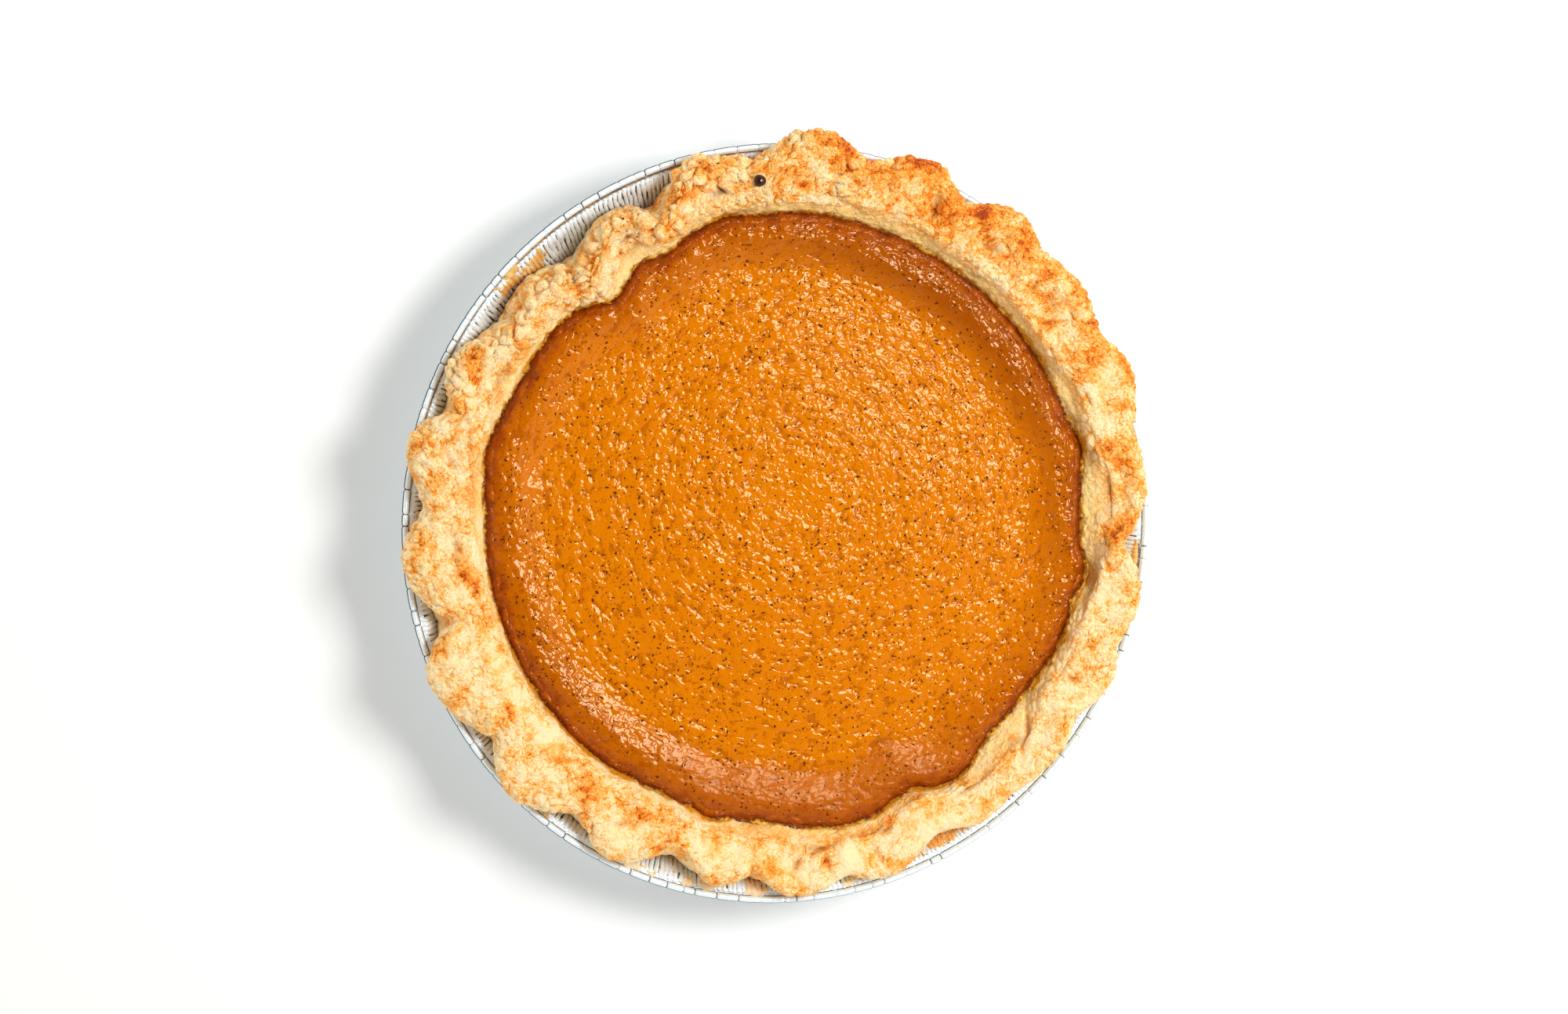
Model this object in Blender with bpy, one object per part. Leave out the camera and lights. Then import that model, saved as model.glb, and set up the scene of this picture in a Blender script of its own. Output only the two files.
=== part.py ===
"""Pumpkin pie in the foil tin it was baked in: pressed tin, hand-fluted crust and baked custard filling.

The origin is on the tin's axis at the underside of its base, +Z is up, and bearings run anticlockwise
from +X. Sizes below are in millimetres and degrees, and are turned to metres when a mesh is made.
"""

import math

import bmesh
import bpy

MM = 0.001
CLEARANCE = 0.4  # left between pieces that touch
SHARP_ANGLE = 40.0  # edges bent more than this stay crisp when the piece is shaded smooth

# The tin: thin foil with a flat base, a sloping wall and a rolled bead round its rim.
TIN_SECTIONS = 80
FOIL = 0.4
BASE_RADIUS = 81.0
WALL_FOOT = (83.2, 2.0)  # radius and height where the wall's slope starts
WALL_TOP = (107.3, 29.0)
GROOVE = (108.4, 28.9)  # radius and height of the level foil between the wall and the bead
RIM_RADIUS = 111.0
RIM_HEIGHT = 30.0
BEAD_WIDTH = 1.8
BEAD_DEPTH = 2.4
BEAD_ROUND = 0.7

# The crust: a pastry shell that lines the tin and stands over it in a fluted rim.
PIE_SECTIONS = 150
SHELL_THICKNESS = 4.0
SHELL_LEVEL = 4.8  # its thickness measured level, where it leans against the tin's wall
KNEE_RISE = 1.0
MID_WALL_HEIGHT = 14.0
ROPE_HEIGHT = 38.0
ROPE_HEIGHT_SWING = 1.6
HIGHEST_ROPE_BEARING = 110.0
BRINK_HEIGHT = 34.6
BRINK_HEIGHT_SWING = 1.5
HIGHEST_BRINK_BEARING = 60.0

# Outer face of the rim from its underside to its shoulder, as (setback from the reach, height): where it
# lies over the tin's bead, and where it has shrunk back and stands inside the wall on a leaning flank.
LIP_ON_BEAD = ((1.8, 31.3), (0.0, 34.0), (1.4, 36.6))
LIP_DRAWN_IN = ((1.4, 31.0), (2.6, 34.0), (3.8, 36.6))
LIP_UNDERSIDE = (2.6, 30.7)  # least setback and height of the dough that bridges wall and bead
LAST_LINED_HEIGHT = 27.0
FLANK_FOOT = 1.2  # rise along the wall over which a shrunken flank turns away from it
DRAWN_IN = (103.0, 108.0)  # a reach below the first has shrunk back, one above the second lies on the bead

# From the shoulder inwards: shares of the way to the brink at which the crown stands and the hollow lies.
CROWN_SHARE = 0.25
HOLLOW_SHARE = 0.66
HOLLOW_DROP = 0.45  # share of the drop from crown to brink, before the finger's press
SLOPE_POINT = (0.6, 0.45)  # shares of the way out and up, from the filling's edge to the brink

# Each flute was pinched by hand: the bearing, reach and brink (inner edge) at its tip, how deep the finger
# pressed behind the tip, then the bearing, reach and brink at the notch that follows it.
FLUTES = (
    (7.0, 110.0, 98.0, 3.0, 15.0, 108.5, 94.0),
    (24.0, 114.0, 97.0, 1.5, 31.5, 110.0, 93.5),
    (39.5, 113.5, 93.5, 2.5, 46.5, 111.0, 94.0),
    (53.0, 115.5, 94.5, 2.5, 61.0, 108.5, 94.5),
    (68.5, 115.5, 95.5, 2.0, 77.5, 109.5, 95.5),
    (85.5, 116.5, 95.0, 1.0, 96.0, 107.5, 94.0),
    (105.0, 111.0, 93.5, 1.0, 113.0, 100.0, 90.0),
    (119.5, 105.5, 93.5, 2.0, 128.5, 99.5, 85.0),
    (137.5, 104.5, 91.5, 1.0, 144.5, 102.5, 92.0),
    (154.0, 109.5, 92.5, 1.0, 160.5, 105.0, 92.0),
    (167.0, 113.5, 92.5, 1.0, 176.5, 106.5, 93.0),
    (184.0, 112.5, 90.5, 1.0, 195.0, 104.5, 89.0),
    (202.5, 113.5, 88.5, 1.0, 215.0, 106.0, 88.0),
    (223.0, 112.0, 88.0, 1.0, 233.5, 104.5, 88.0),
    (241.0, 109.5, 88.0, 1.5, 251.5, 102.0, 89.0),
    (259.0, 107.0, 91.0, 1.0, 265.0, 104.5, 92.0),
    (272.5, 109.0, 94.0, 1.5, 280.5, 105.5, 93.5),
    (286.5, 108.5, 93.5, 1.0, 297.0, 104.0, 89.5),
    (305.0, 107.0, 94.0, 1.5, 311.0, 106.5, 96.0),
    (320.0, 108.0, 96.0, 2.0, 327.5, 106.0, 93.0),
    (334.5, 110.0, 93.0, 1.0, 340.5, 107.0, 93.0),
    (347.5, 110.0, 95.0, 1.5, 357.0, 104.5, 96.0),
)

# The filling: custard that meets the crust along an uneven, slightly off-centre circle.
FILLING_RADIUS = 88.5
FILLING_OFFSET = 2.2
FILLING_OFFSET_BEARING = 40.0
# Where the edge swells out or is pushed in: bearing, half-width and change of radius.
EDGE_SWELLS = (
    (14.5, 5.0, 2.6),
    (87.0, 12.0, 1.2),
    (101.0, 4.0, 1.6),
    (114.0, 4.5, -3.0),
    (126.5, 6.0, -6.2),
    (165.0, 7.0, 2.3),
    (243.0, 7.0, -1.2),
    (256.0, 3.0, 1.2),
    (283.0, 10.0, 3.2),
    (296.0, 3.5, -1.6),
    (305.5, 6.5, 4.2),
    (338.0, 9.0, 1.9),
    (351.0, 4.0, 3.0),
)
FILLING_EDGE_HEIGHT = 26.9
EDGE_GAP = 0.7  # level clearance between the filling's edge and the crust's slope
EDGE_ROUND = (1.2, 1.0)  # how far in and up the rounded edge of the custard goes
RING_INSET = 4.6  # from the edge to the crest of the puffed ring, on average
RING_INSET_SWING = 2.0
WIDEST_RING_BEARING = 215.0
RING_HEIGHT = 29.3
RING_WIDTH = 13.0
RING_FLANK_SHARE = 0.4  # of the ring's width, where it has dropped half way to the moat
MOAT_HEIGHT = 26.9
FILLING_CENTRE_HEIGHT = 27.8

FOIL_COLOUR = (0.78, 0.77, 0.75, 1.0)
PASTRY_COLOUR = (0.86, 0.60, 0.30, 1.0)
CUSTARD_COLOUR = (0.72, 0.24, 0.012, 1.0)


def blend(start, end, share):
    """Value between start and end, or point between two points, at the given share of the way."""
    if isinstance(start, tuple):
        return tuple(a + (b - a) * share for a, b in zip(start, end))
    return start + (end - start) * share


def eased(share):
    """Share of the way from 0 to 1, flat at both ends."""
    return 0.5 - 0.5 * math.cos(math.pi * min(max(share, 0.0), 1.0))


def swing(bearing, towards):
    """1 at the bearing towards, -1 opposite it."""
    return math.cos(math.radians(bearing - towards))


def rim_at(bearing):
    """Reach, brink radius and finger press of the crust's rim: broad round tips, pinched notches between."""
    tips = [(row[0], row[1:4]) for row in FLUTES]
    notches = [(row[4], (row[5], row[6], 0.0)) for row in FLUTES]
    before = [(at - 360.0, values) for at, values in notches[-1:]] + notches
    for (left, left_values), (tip, tip_values), (right, right_values) in zip(before, tips, notches):
        for turn in (bearing, bearing - 360.0):
            if left <= turn <= right:
                notch, values = (left, left_values) if turn < tip else (right, right_values)
                share = (turn - tip) / (notch - tip)
                pinch = 0.5 * eased(share) + 0.5 * (1.0 - math.cos(0.5 * math.pi * share))
                return blend(tip_values, values, pinch)
    raise ValueError(bearing)


def filling_edge(bearing):
    """Radius at which the filling meets the crust."""
    radius = FILLING_RADIUS + FILLING_OFFSET * swing(bearing, FILLING_OFFSET_BEARING)
    for centre, half_width, change in EDGE_SWELLS:
        apart = (bearing - centre + 180.0) % 360.0 - 180.0
        radius += change * math.exp(-((apart / half_width) ** 2))
    return radius


def wall_slope():
    """How far the tin's wall leans out for each millimetre it rises."""
    return (WALL_TOP[0] - WALL_FOOT[0]) / (WALL_TOP[1] - WALL_FOOT[1])


def lining_radius(height):
    """Outer radius of the crust where it lines the tin's wall."""
    gap = CLEARANCE * math.hypot(1.0, wall_slope())
    return WALL_FOOT[0] + (height - WALL_FOOT[1]) * wall_slope() - gap


def inner_wall(bearing):
    """The crust's hidden inner face, from the floor up to the filling's edge."""
    floor = SHELL_THICKNESS + FOIL
    knee = (WALL_FOOT[0] - SHELL_LEVEL, floor + KNEE_RISE)
    middle = (lining_radius(MID_WALL_HEIGHT) - SHELL_LEVEL, MID_WALL_HEIGHT)
    edge = (filling_edge(bearing), FILLING_EDGE_HEIGHT + CLEARANCE)
    return [(knee[0] - SHELL_THICKNESS, floor), knee, middle, edge]


def outer_face(reach):
    """The crust's outer face, from where it leaves the tin's wall up to the rim's shoulder."""
    drawn = 1.0 - eased((reach - DRAWN_IN[0]) / (DRAWN_IN[1] - DRAWN_IN[0]))
    meets = WALL_FOOT[1] + (reach - lining_radius(WALL_FOOT[1])) / wall_slope()
    leaving = blend(LAST_LINED_HEIGHT, min(meets, LAST_LINED_HEIGHT) - FLANK_FOOT, drawn)
    bridge = (min(WALL_TOP[0], reach - LIP_UNDERSIDE[0]), LIP_UNDERSIDE[1])
    flank = (lining_radius(leaving + FLANK_FOOT), leaving + FLANK_FOOT)
    face = [(lining_radius(leaving), leaving), blend(bridge, flank, drawn)]
    for over, shrunk in zip(LIP_ON_BEAD, LIP_DRAWN_IN):
        setback, height = blend(over, shrunk, drawn)
        face.append((reach - setback, height))
    return face


def crust_section(bearing):
    """Closed half-section of the crust at a bearing, outer face first, as (radius, height) points."""
    reach, brink, press = rim_at(bearing)
    crown_height = ROPE_HEIGHT + ROPE_HEIGHT_SWING * swing(bearing, HIGHEST_ROPE_BEARING)
    brink_height = BRINK_HEIGHT + BRINK_HEIGHT_SWING * swing(bearing, HIGHEST_BRINK_BEARING)
    outer = outer_face(reach)
    wall = inner_wall(bearing)
    shoulder = outer[-1][0]
    edge = wall[-1]
    lining = [
        (BASE_RADIUS - 2.0 * CLEARANCE, FOIL + CLEARANCE),
        (lining_radius(WALL_FOOT[1] + CLEARANCE), WALL_FOOT[1] + CLEARANCE),
        (lining_radius(MID_WALL_HEIGHT), MID_WALL_HEIGHT),
    ]
    top = [
        (blend(shoulder, brink, CROWN_SHARE), crown_height),
        (blend(shoulder, brink, HOLLOW_SHARE), blend(crown_height, brink_height, HOLLOW_DROP) - press),
        (brink, brink_height),
        (blend(edge[0], brink, SLOPE_POINT[0]), blend(edge[1], brink_height, SLOPE_POINT[1])),
    ]
    return lining + outer + top + wall[::-1]


def filling_section(bearing):
    """Closed half-section of the filling at a bearing, its side first."""
    *hidden, edge = inner_wall(bearing)
    crest = edge[0] - RING_INSET - RING_INSET_SWING * swing(bearing, WIDEST_RING_BEARING)
    side = [(r - CLEARANCE, z + CLEARANCE) for r, z in hidden]
    top = [
        (edge[0] - EDGE_GAP, edge[1] - CLEARANCE),
        (edge[0] - EDGE_ROUND[0], FILLING_EDGE_HEIGHT + EDGE_ROUND[1]),
        (crest, RING_HEIGHT),
        (crest - RING_FLANK_SHARE * RING_WIDTH, blend(MOAT_HEIGHT, RING_HEIGHT, 0.5)),
        (crest - RING_WIDTH, MOAT_HEIGHT),
    ]
    return side + top


def foil_outside(point):
    """Point on the outer face of the tin's wall, straight through the foil from one on its inner face."""
    across = FOIL / math.hypot(1.0, wall_slope())
    return (point[0] + across, point[1] - across * wall_slope())


def tin_section(_bearing):
    """Closed half-section of the tin, its outer face first."""
    bead_inside = RIM_RADIUS - BEAD_WIDTH
    return [
        (BASE_RADIUS, 0.0),
        foil_outside(WALL_FOOT),
        foil_outside(WALL_TOP),
        (GROOVE[0], GROOVE[1] - FOIL),
        (bead_inside, RIM_HEIGHT - BEAD_DEPTH),
        (RIM_RADIUS - BEAD_ROUND, RIM_HEIGHT - BEAD_DEPTH),
        (RIM_RADIUS, RIM_HEIGHT - 0.5 * BEAD_DEPTH),
        (RIM_RADIUS - BEAD_ROUND, RIM_HEIGHT),
        (bead_inside, RIM_HEIGHT),
        GROOVE,
        WALL_TOP,
        WALL_FOOT,
        (BASE_RADIUS - FOIL, FOIL),
    ]


def material(name, colour, roughness, metallic):
    """Plain finish of one piece."""
    made = bpy.data.materials.new(name)
    made.use_nodes = True
    shader = made.node_tree.nodes["Principled BSDF"]
    shader.inputs["Base Color"].default_value = colour
    shader.inputs["Roughness"].default_value = roughness
    shader.inputs["Metallic"].default_value = metallic
    made.diffuse_color = colour
    return made


def loft(name, section, count, finish, start_height, end_height):
    """Closed piece through half-sections all round the axis, shut by fans at its two ends on the axis."""
    mesh = bmesh.new()
    rings = []
    for index in range(count):
        turn = 2.0 * math.pi * index / count
        points = section(math.degrees(turn))
        rings.append([
            mesh.verts.new((r * MM * math.cos(turn), r * MM * math.sin(turn), z * MM)) for r, z in points
        ])
    start = mesh.verts.new((0.0, 0.0, start_height * MM))
    end = mesh.verts.new((0.0, 0.0, end_height * MM))
    for here, there in zip(rings, rings[1:] + rings[:1]):
        mesh.faces.new((start, there[0], here[0]))
        for level in range(len(here) - 1):
            quad = (here[level], there[level], there[level + 1], here[level + 1])
            # Each quad starts where its diagonal runs down, so faces that lie against each other split alike.
            rises = here[level].co.z < here[level + 1].co.z
            mesh.faces.new(quad[1:] + quad[:1] if rises else quad)
        mesh.faces.new((end, here[-1], there[-1]))
    data = bpy.data.meshes.new(name)
    mesh.to_mesh(data)
    mesh.free()
    data.shade_smooth()
    data.set_sharp_from_angle(angle=math.radians(SHARP_ANGLE))
    data.materials.append(finish)
    piece = bpy.data.objects.new(name, data)
    bpy.context.collection.objects.link(piece)
    return piece


def make_tin():
    finish = material("foil", FOIL_COLOUR, 0.25, 1.0)
    return loft("tin", tin_section, TIN_SECTIONS, finish, 0.0, FOIL)


def make_crust():
    finish = material("pastry", PASTRY_COLOUR, 0.7, 0.0)
    underside = FOIL + CLEARANCE
    return loft("crust", crust_section, PIE_SECTIONS, finish, underside, SHELL_THICKNESS + FOIL)


def make_filling():
    finish = material("custard", CUSTARD_COLOUR, 0.3, 0.0)
    underside = SHELL_THICKNESS + FOIL + CLEARANCE
    return loft("filling", filling_section, PIE_SECTIONS, finish, underside, FILLING_CENTRE_HEIGHT)


for leftover in list(bpy.data.objects):
    bpy.data.objects.remove(leftover)
tin = make_tin()
make_crust().parent = tin
make_filling().parent = tin
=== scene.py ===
"""Looks of a pumpkin pie in the foil tin it was baked in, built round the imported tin, crust and filling.

Sizes are in millimetres and bearings in degrees, anticlockwise from +X; meshes are made in metres.
"""

import math

import bpy
import numpy as np
from mathutils import Matrix, Vector, noise
from mathutils.bvhtree import BVHTree


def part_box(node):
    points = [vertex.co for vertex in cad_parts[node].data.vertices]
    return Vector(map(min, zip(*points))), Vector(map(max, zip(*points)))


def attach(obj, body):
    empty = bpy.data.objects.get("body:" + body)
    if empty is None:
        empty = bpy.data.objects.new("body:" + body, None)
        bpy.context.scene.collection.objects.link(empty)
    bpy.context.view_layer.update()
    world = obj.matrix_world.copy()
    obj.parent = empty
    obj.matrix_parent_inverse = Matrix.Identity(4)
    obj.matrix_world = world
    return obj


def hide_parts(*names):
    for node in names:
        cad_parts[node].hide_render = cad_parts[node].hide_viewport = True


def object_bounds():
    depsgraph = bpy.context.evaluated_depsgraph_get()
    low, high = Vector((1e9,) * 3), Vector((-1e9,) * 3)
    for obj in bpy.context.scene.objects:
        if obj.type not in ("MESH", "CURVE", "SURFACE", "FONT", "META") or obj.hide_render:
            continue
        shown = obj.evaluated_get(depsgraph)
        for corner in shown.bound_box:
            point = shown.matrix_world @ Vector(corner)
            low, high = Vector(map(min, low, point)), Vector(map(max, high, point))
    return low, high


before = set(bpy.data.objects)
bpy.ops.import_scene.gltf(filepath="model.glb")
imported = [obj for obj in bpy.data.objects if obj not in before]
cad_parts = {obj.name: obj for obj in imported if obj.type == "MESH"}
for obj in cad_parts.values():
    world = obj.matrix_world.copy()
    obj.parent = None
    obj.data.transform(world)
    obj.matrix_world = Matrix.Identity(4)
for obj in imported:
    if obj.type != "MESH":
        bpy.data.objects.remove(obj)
cad_low, cad_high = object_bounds()

# --- Tin ----------------------------------------------------------------------------------------
# Pressed from thin aluminium foil: a flat base, a wall gathered into fine upright crimps as it was
# drawn, a narrow level ledge, and a rim rolled outwards into a bead that the rolling wheels nicked.

MM = 0.001
TIN_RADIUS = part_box("tin")[1].x / MM
RIM_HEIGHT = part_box("tin")[1].z / MM
TIN_SECTIONS = 2500
FOIL = 0.3
BASE_RADIUS = 81.0
WALL_FOOT = (83.2, 2.0)  # radius and height where the wall's slope starts
WALL_TOP = (TIN_RADIUS - 3.7, RIM_HEIGHT - 1.0)
LEDGE = (TIN_RADIUS - 2.6, RIM_HEIGHT - 1.1)
BEAD_CENTRE = (TIN_RADIUS - 0.95, RIM_HEIGHT - 1.05)
BEAD_RADII = (0.95, 1.05)
CRIMPS = 450
CRIMP_DEPTH = 0.24
NICK_GAP = (3.2, 7.5)  # least and greatest distance between the bead's nicks
NICK_WIDTH = 0.35
NICK_DEPTH = 0.3
SHOWN_WALL = 9.0  # how far in from the ledge the crust ever leaves the wall in sight


def apart(bearings, centre):
    """Signed angle from a bearing, between -180 and 180."""
    return (bearings - centre + 180.0) % 360.0 - 180.0


def noise_at(places, size, seed=0):
    """Smooth noise from -1 to 1 at each place, in lumps about as wide as size."""
    points = (np.asarray(places) / size + 17.3 * seed).reshape(-1, 3)
    return np.array([noise.noise(p) for p in points.tolist()]).reshape(places.shape[:-1])


def places_at(bearings, radii, heights):
    """Points in space, one for each bearing, radius and height."""
    turns = np.radians(bearings)
    return np.stack(np.broadcast_arrays(radii * np.cos(turns), radii * np.sin(turns), heights), -1)


def finely(points, step):
    """The same line of points with more between them, none further apart than the step."""
    fine = [points[0]]
    for (r0, z0), (r1, z1) in zip(points, points[1:]):
        count = max(1, math.ceil(math.hypot(r1 - r0, z1 - z0) / step))
        fine += [(r0 + (r1 - r0) * n / count, z0 + (z1 - z0) * n / count) for n in range(1, count + 1)]
    return fine


def lathe(name, places, start_height, end_height):
    """Closed piece over rows of points that each go right round the axis, shut at both ends on the axis."""
    rows, count = places.shape[:2]
    ends = [(0.0, 0.0, start_height), (0.0, 0.0, end_height)]
    vertices = np.concatenate([places.reshape(-1, 3), ends]) * MM
    here = np.arange(count)
    there = np.roll(here, -1)
    low = (np.arange(rows - 1) * count)[:, None]
    quads = np.stack([low + here, low + there, low + count + there, low + count + here], -1).reshape(-1, 4)
    start, end = rows * count, rows * count + 1
    last = (rows - 1) * count
    faces = quads.tolist()
    faces += [(start, b, a) for a, b in zip(here.tolist(), there.tolist())]
    faces += [(end, last + a, last + b) for a, b in zip(here.tolist(), there.tolist())]
    mesh = bpy.data.meshes.new(name)
    mesh.from_pydata(vertices.tolist(), [], faces)
    mesh.shade_smooth()
    piece = bpy.data.objects.new(name, mesh)
    bpy.context.scene.collection.objects.link(piece)
    return piece


def paint(piece, name, values):
    """Stores a value at each point of the piece for its material to read; the two end points take 0."""
    layer = piece.data.attributes.new(name, "FLOAT", "POINT")
    layer.data.foreach_set("value", np.append(np.asarray(values, np.float32).ravel(), [0.0, 0.0]))


def bead_points(first, last, count):
    """Points round the rolled bead's outside, between two angles of its cross-section."""
    turns = np.radians(np.linspace(first, last, count))
    return [
        (BEAD_CENTRE[0] + BEAD_RADII[0] * math.cos(t), BEAD_CENTRE[1] + BEAD_RADII[1] * math.sin(t))
        for t in turns
    ]


def tin_section():
    """Radius and height of each row of the tin, up its outer face, round the bead and down its inner face."""
    under = [(BASE_RADIUS / 2, 0.0), (BASE_RADIUS, 0.0), (WALL_FOOT[0] + FOIL, WALL_FOOT[1] - FOIL)]
    outer_top = (WALL_TOP[0] + FOIL, WALL_TOP[1] - FOIL)
    outside = finely([under[-1], outer_top], 9.0)[1:] + [(LEDGE[0] - FOIL, LEDGE[1] - FOIL)]
    bead = bead_points(-150.0, 175.0, 13)
    groove = finely([bead[-1], LEDGE], 0.25)[1:]
    steep = (WALL_TOP[1] - WALL_FOOT[1]) / (WALL_TOP[0] - WALL_FOOT[0])
    shown_foot = (WALL_TOP[0] - SHOWN_WALL, WALL_TOP[1] - SHOWN_WALL * steep)
    inside = finely([WALL_TOP, shown_foot], 2.4) + finely([shown_foot, WALL_FOOT], 7.0)[1:]
    return np.array(under + outside + bead + groove + inside + [(BASE_RADIUS, FOIL), (BASE_RADIUS / 2, FOIL)])


def crimped(section, bearings, places):
    """The tin's points with the wall's crimps pushed in and out, square to the wall."""
    heights = section[:, 1][:, None]
    on_wall = np.clip((heights - WALL_FOOT[1]) / 3.0, 0.0, 1.0) * (section[:, 0][:, None] < LEDGE[0] - 0.5)
    wander = 0.55 * noise_at(places, 5.0, 1) + 0.25 * noise_at(places, 1.6, 2)
    height = np.sin(2.0 * np.pi * (CRIMPS * bearings / 360.0 + wander))
    height += 0.7 * noise_at(places, 2.6, 3)
    across = np.array([WALL_TOP[0] - WALL_FOOT[0], WALL_TOP[1] - WALL_FOOT[1]])
    inwards, upwards = -across[1] / np.hypot(*across), across[0] / np.hypot(*across)
    push = CRIMP_DEPTH * on_wall * height
    return push * inwards, push * upwards, -height * on_wall


def nicked(section, bearings, random):
    """How far each point of the bead is pinched towards the middle of the roll."""
    pinch = np.zeros(len(bearings))
    bearing = 0.0
    while bearing < 360.0:
        width = math.degrees(NICK_WIDTH / TIN_RADIUS)
        depth = NICK_DEPTH * random.uniform(0.35, 1.0)
        pinch += depth * np.exp(-((apart(bearings, bearing) / width) ** 2))
        bearing += math.degrees(random.uniform(*NICK_GAP) / TIN_RADIUS)
    radii, heights = section[:, 0], section[:, 1]
    reach = np.hypot(radii - BEAD_CENTRE[0], heights - BEAD_CENTRE[1])
    on_bead = (reach < 1.2) & (radii > LEDGE[0] + 0.3)
    towards = np.stack([BEAD_CENTRE[0] - radii, BEAD_CENTRE[1] - heights]) / reach * on_bead
    return pinch, towards


# Where baking left its marks on the ledge and the top of the wall: bearing, half-width in degrees,
# radius, half-width in millimetres and strength.
TIN_STAINS = (
    (117.0, 26.0, 108.7, 0.4, 0.75),
    (160.0, 20.0, 108.7, 0.35, 0.55),
    (225.0, 18.0, 108.9, 0.4, 0.35),
    (262.0, 14.0, 108.4, 0.9, 0.35),
    (352.0, 6.0, 108.4, 0.5, 0.8),
    (128.0, 3.0, 105.0, 1.6, 0.35),
)

tin_random = np.random.default_rng(11)
tin_bearings = np.arange(TIN_SECTIONS) * 360.0 / TIN_SECTIONS
section = tin_section()
tin_places = places_at(tin_bearings, section[:, :1], section[:, 1:])
inwards, upwards, valleys = crimped(section, tin_bearings, tin_places)
pinch, towards = nicked(section, tin_bearings, tin_random)
radii = section[:, :1] + inwards + towards[0][:, None] * pinch
heights = section[:, 1:] + upwards + towards[1][:, None] * pinch
tin_places = places_at(tin_bearings, radii, heights)
tin = lathe("foil_tin", tin_places, 0.0, FOIL)

marks = np.zeros(radii.shape)
for bearing, spread, radius, width, strength in TIN_STAINS:
    around = np.exp(-((apart(tin_bearings, bearing) / spread) ** 4))
    marks = np.maximum(marks, strength * around * np.exp(-(((radii - radius) / width) ** 2)))
paint(tin, "marks", marks * (heights > WALL_TOP[1] - 6.0))
# Painted shade and painted dark reflections: the crimp valleys, the groove under the bead, the bead's turned-under
# outer edge and the nicks are marked here, and the foil's colour darkens towards them.
groove = 1.0 * np.exp(-(((radii - LEDGE[0] - 0.5) / 0.34) ** 4)) * (heights > LEDGE[1] - 0.6)
bead_edge_shade = 1.0 * (radii > TIN_RADIUS - 0.5) * (heights > RIM_HEIGHT - 1.7)
nick_shade = np.clip(1.6 * pinch / NICK_DEPTH, 0.0, 0.95) * (np.abs(towards[0]) + np.abs(towards[1]) > 0.0)[:, None]
painted_shade_hollows = np.clip(0.5 + 0.5 * valleys, 0.0, 1.0) * (valleys != 0.0)
paint(tin, "painted_shade_hollows", np.maximum.reduce([painted_shade_hollows, groove, bead_edge_shade, nick_shade]))


def colour(red, green, blue):
    """Linear colour from the 0 to 255 steps of a paint chart."""
    steps = np.array([red, green, blue]) / 255.0
    linear = np.where(steps <= 0.04045, steps / 12.92, ((steps + 0.055) / 1.055) ** 2.4)
    return (*linear.tolist(), 1.0)


class Finish:
    """A material whose nodes are added one by one, each named for what it does."""

    def __init__(self, name):
        self.material = bpy.data.materials.new(name)
        self.material.use_nodes = True
        self.tree = self.material.node_tree
        self.shader = self.tree.nodes["Principled BSDF"]

    def add(self, kind, label, inputs=(), **settings):
        return add_node(self.tree, kind, label, inputs, **settings)

    def set(self, **values):
        for name, value in values.items():
            socket = self.shader.inputs[name.replace("_", " ").title().replace("Ior", "IOR")]
            if isinstance(value, bpy.types.NodeSocket):
                self.tree.links.new(value, socket)
            else:
                socket.default_value = value

    def wear(self, piece):
        piece.data.materials.clear()
        piece.data.materials.append(self.material)


def add_node(tree, kind, label, inputs=(), **settings):
    """Adds a node, fills or links its inputs by name or number, and returns it."""
    node = tree.nodes.new(kind)
    node.label = label
    for setting, value in settings.items():
        setattr(node, setting, value)
    for key, value in dict(inputs).items():
        if isinstance(value, bpy.types.NodeSocket):
            tree.links.new(value, node.inputs[key])
        else:
            node.inputs[key].default_value = value
    return node


def read_paint(finish, name):
    """The value that paint() stored on the piece."""
    return finish.add("ShaderNodeAttribute", name, attribute_name=name).outputs["Fac"]


def between(finish, value, low, high, start=0.0, end=1.0):
    """Value carried smoothly from one span to another and held at its ends."""
    inputs = {"Value": value, "From Min": low, "From Max": high, "To Min": start, "To Max": end}
    return finish.add("ShaderNodeMapRange", "span", inputs, interpolation_type="SMOOTHSTEP").outputs[0]


def sum_of(finish, *values):
    """Values added up."""
    total = values[0]
    for value in values[1:]:
        total = finish.add("ShaderNodeMath", "sum", {0: total, 1: value}, operation="ADD").outputs[0]
    return total


def times(finish, value, factor):
    """A value scaled by another."""
    return finish.add("ShaderNodeMath", "scale", {0: value, 1: factor}, operation="MULTIPLY").outputs[0]


def mixed(finish, share, first, second):
    """Two colours mixed by the share of the second."""
    node = finish.add("ShaderNodeMix", "mix", data_type="RGBA")
    for key, value in ((0, share), (6, first), (7, second)):
        if isinstance(value, bpy.types.NodeSocket):
            finish.tree.links.new(value, node.inputs[key])
        else:
            node.inputs[key].default_value = value
    return node.outputs[2]


def graded(finish, value, stops):
    """Colour read off a scale of (value, colour) stops."""
    node = finish.add("ShaderNodeValToRGB", "scale of colour", {"Fac": value})
    ramp = node.color_ramp
    while len(ramp.elements) < len(stops):
        ramp.elements.new(1.0)
    for element, (position, tint) in zip(ramp.elements, stops):
        element.position = position
        element.color = tint
    return node.outputs["Color"]


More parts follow.
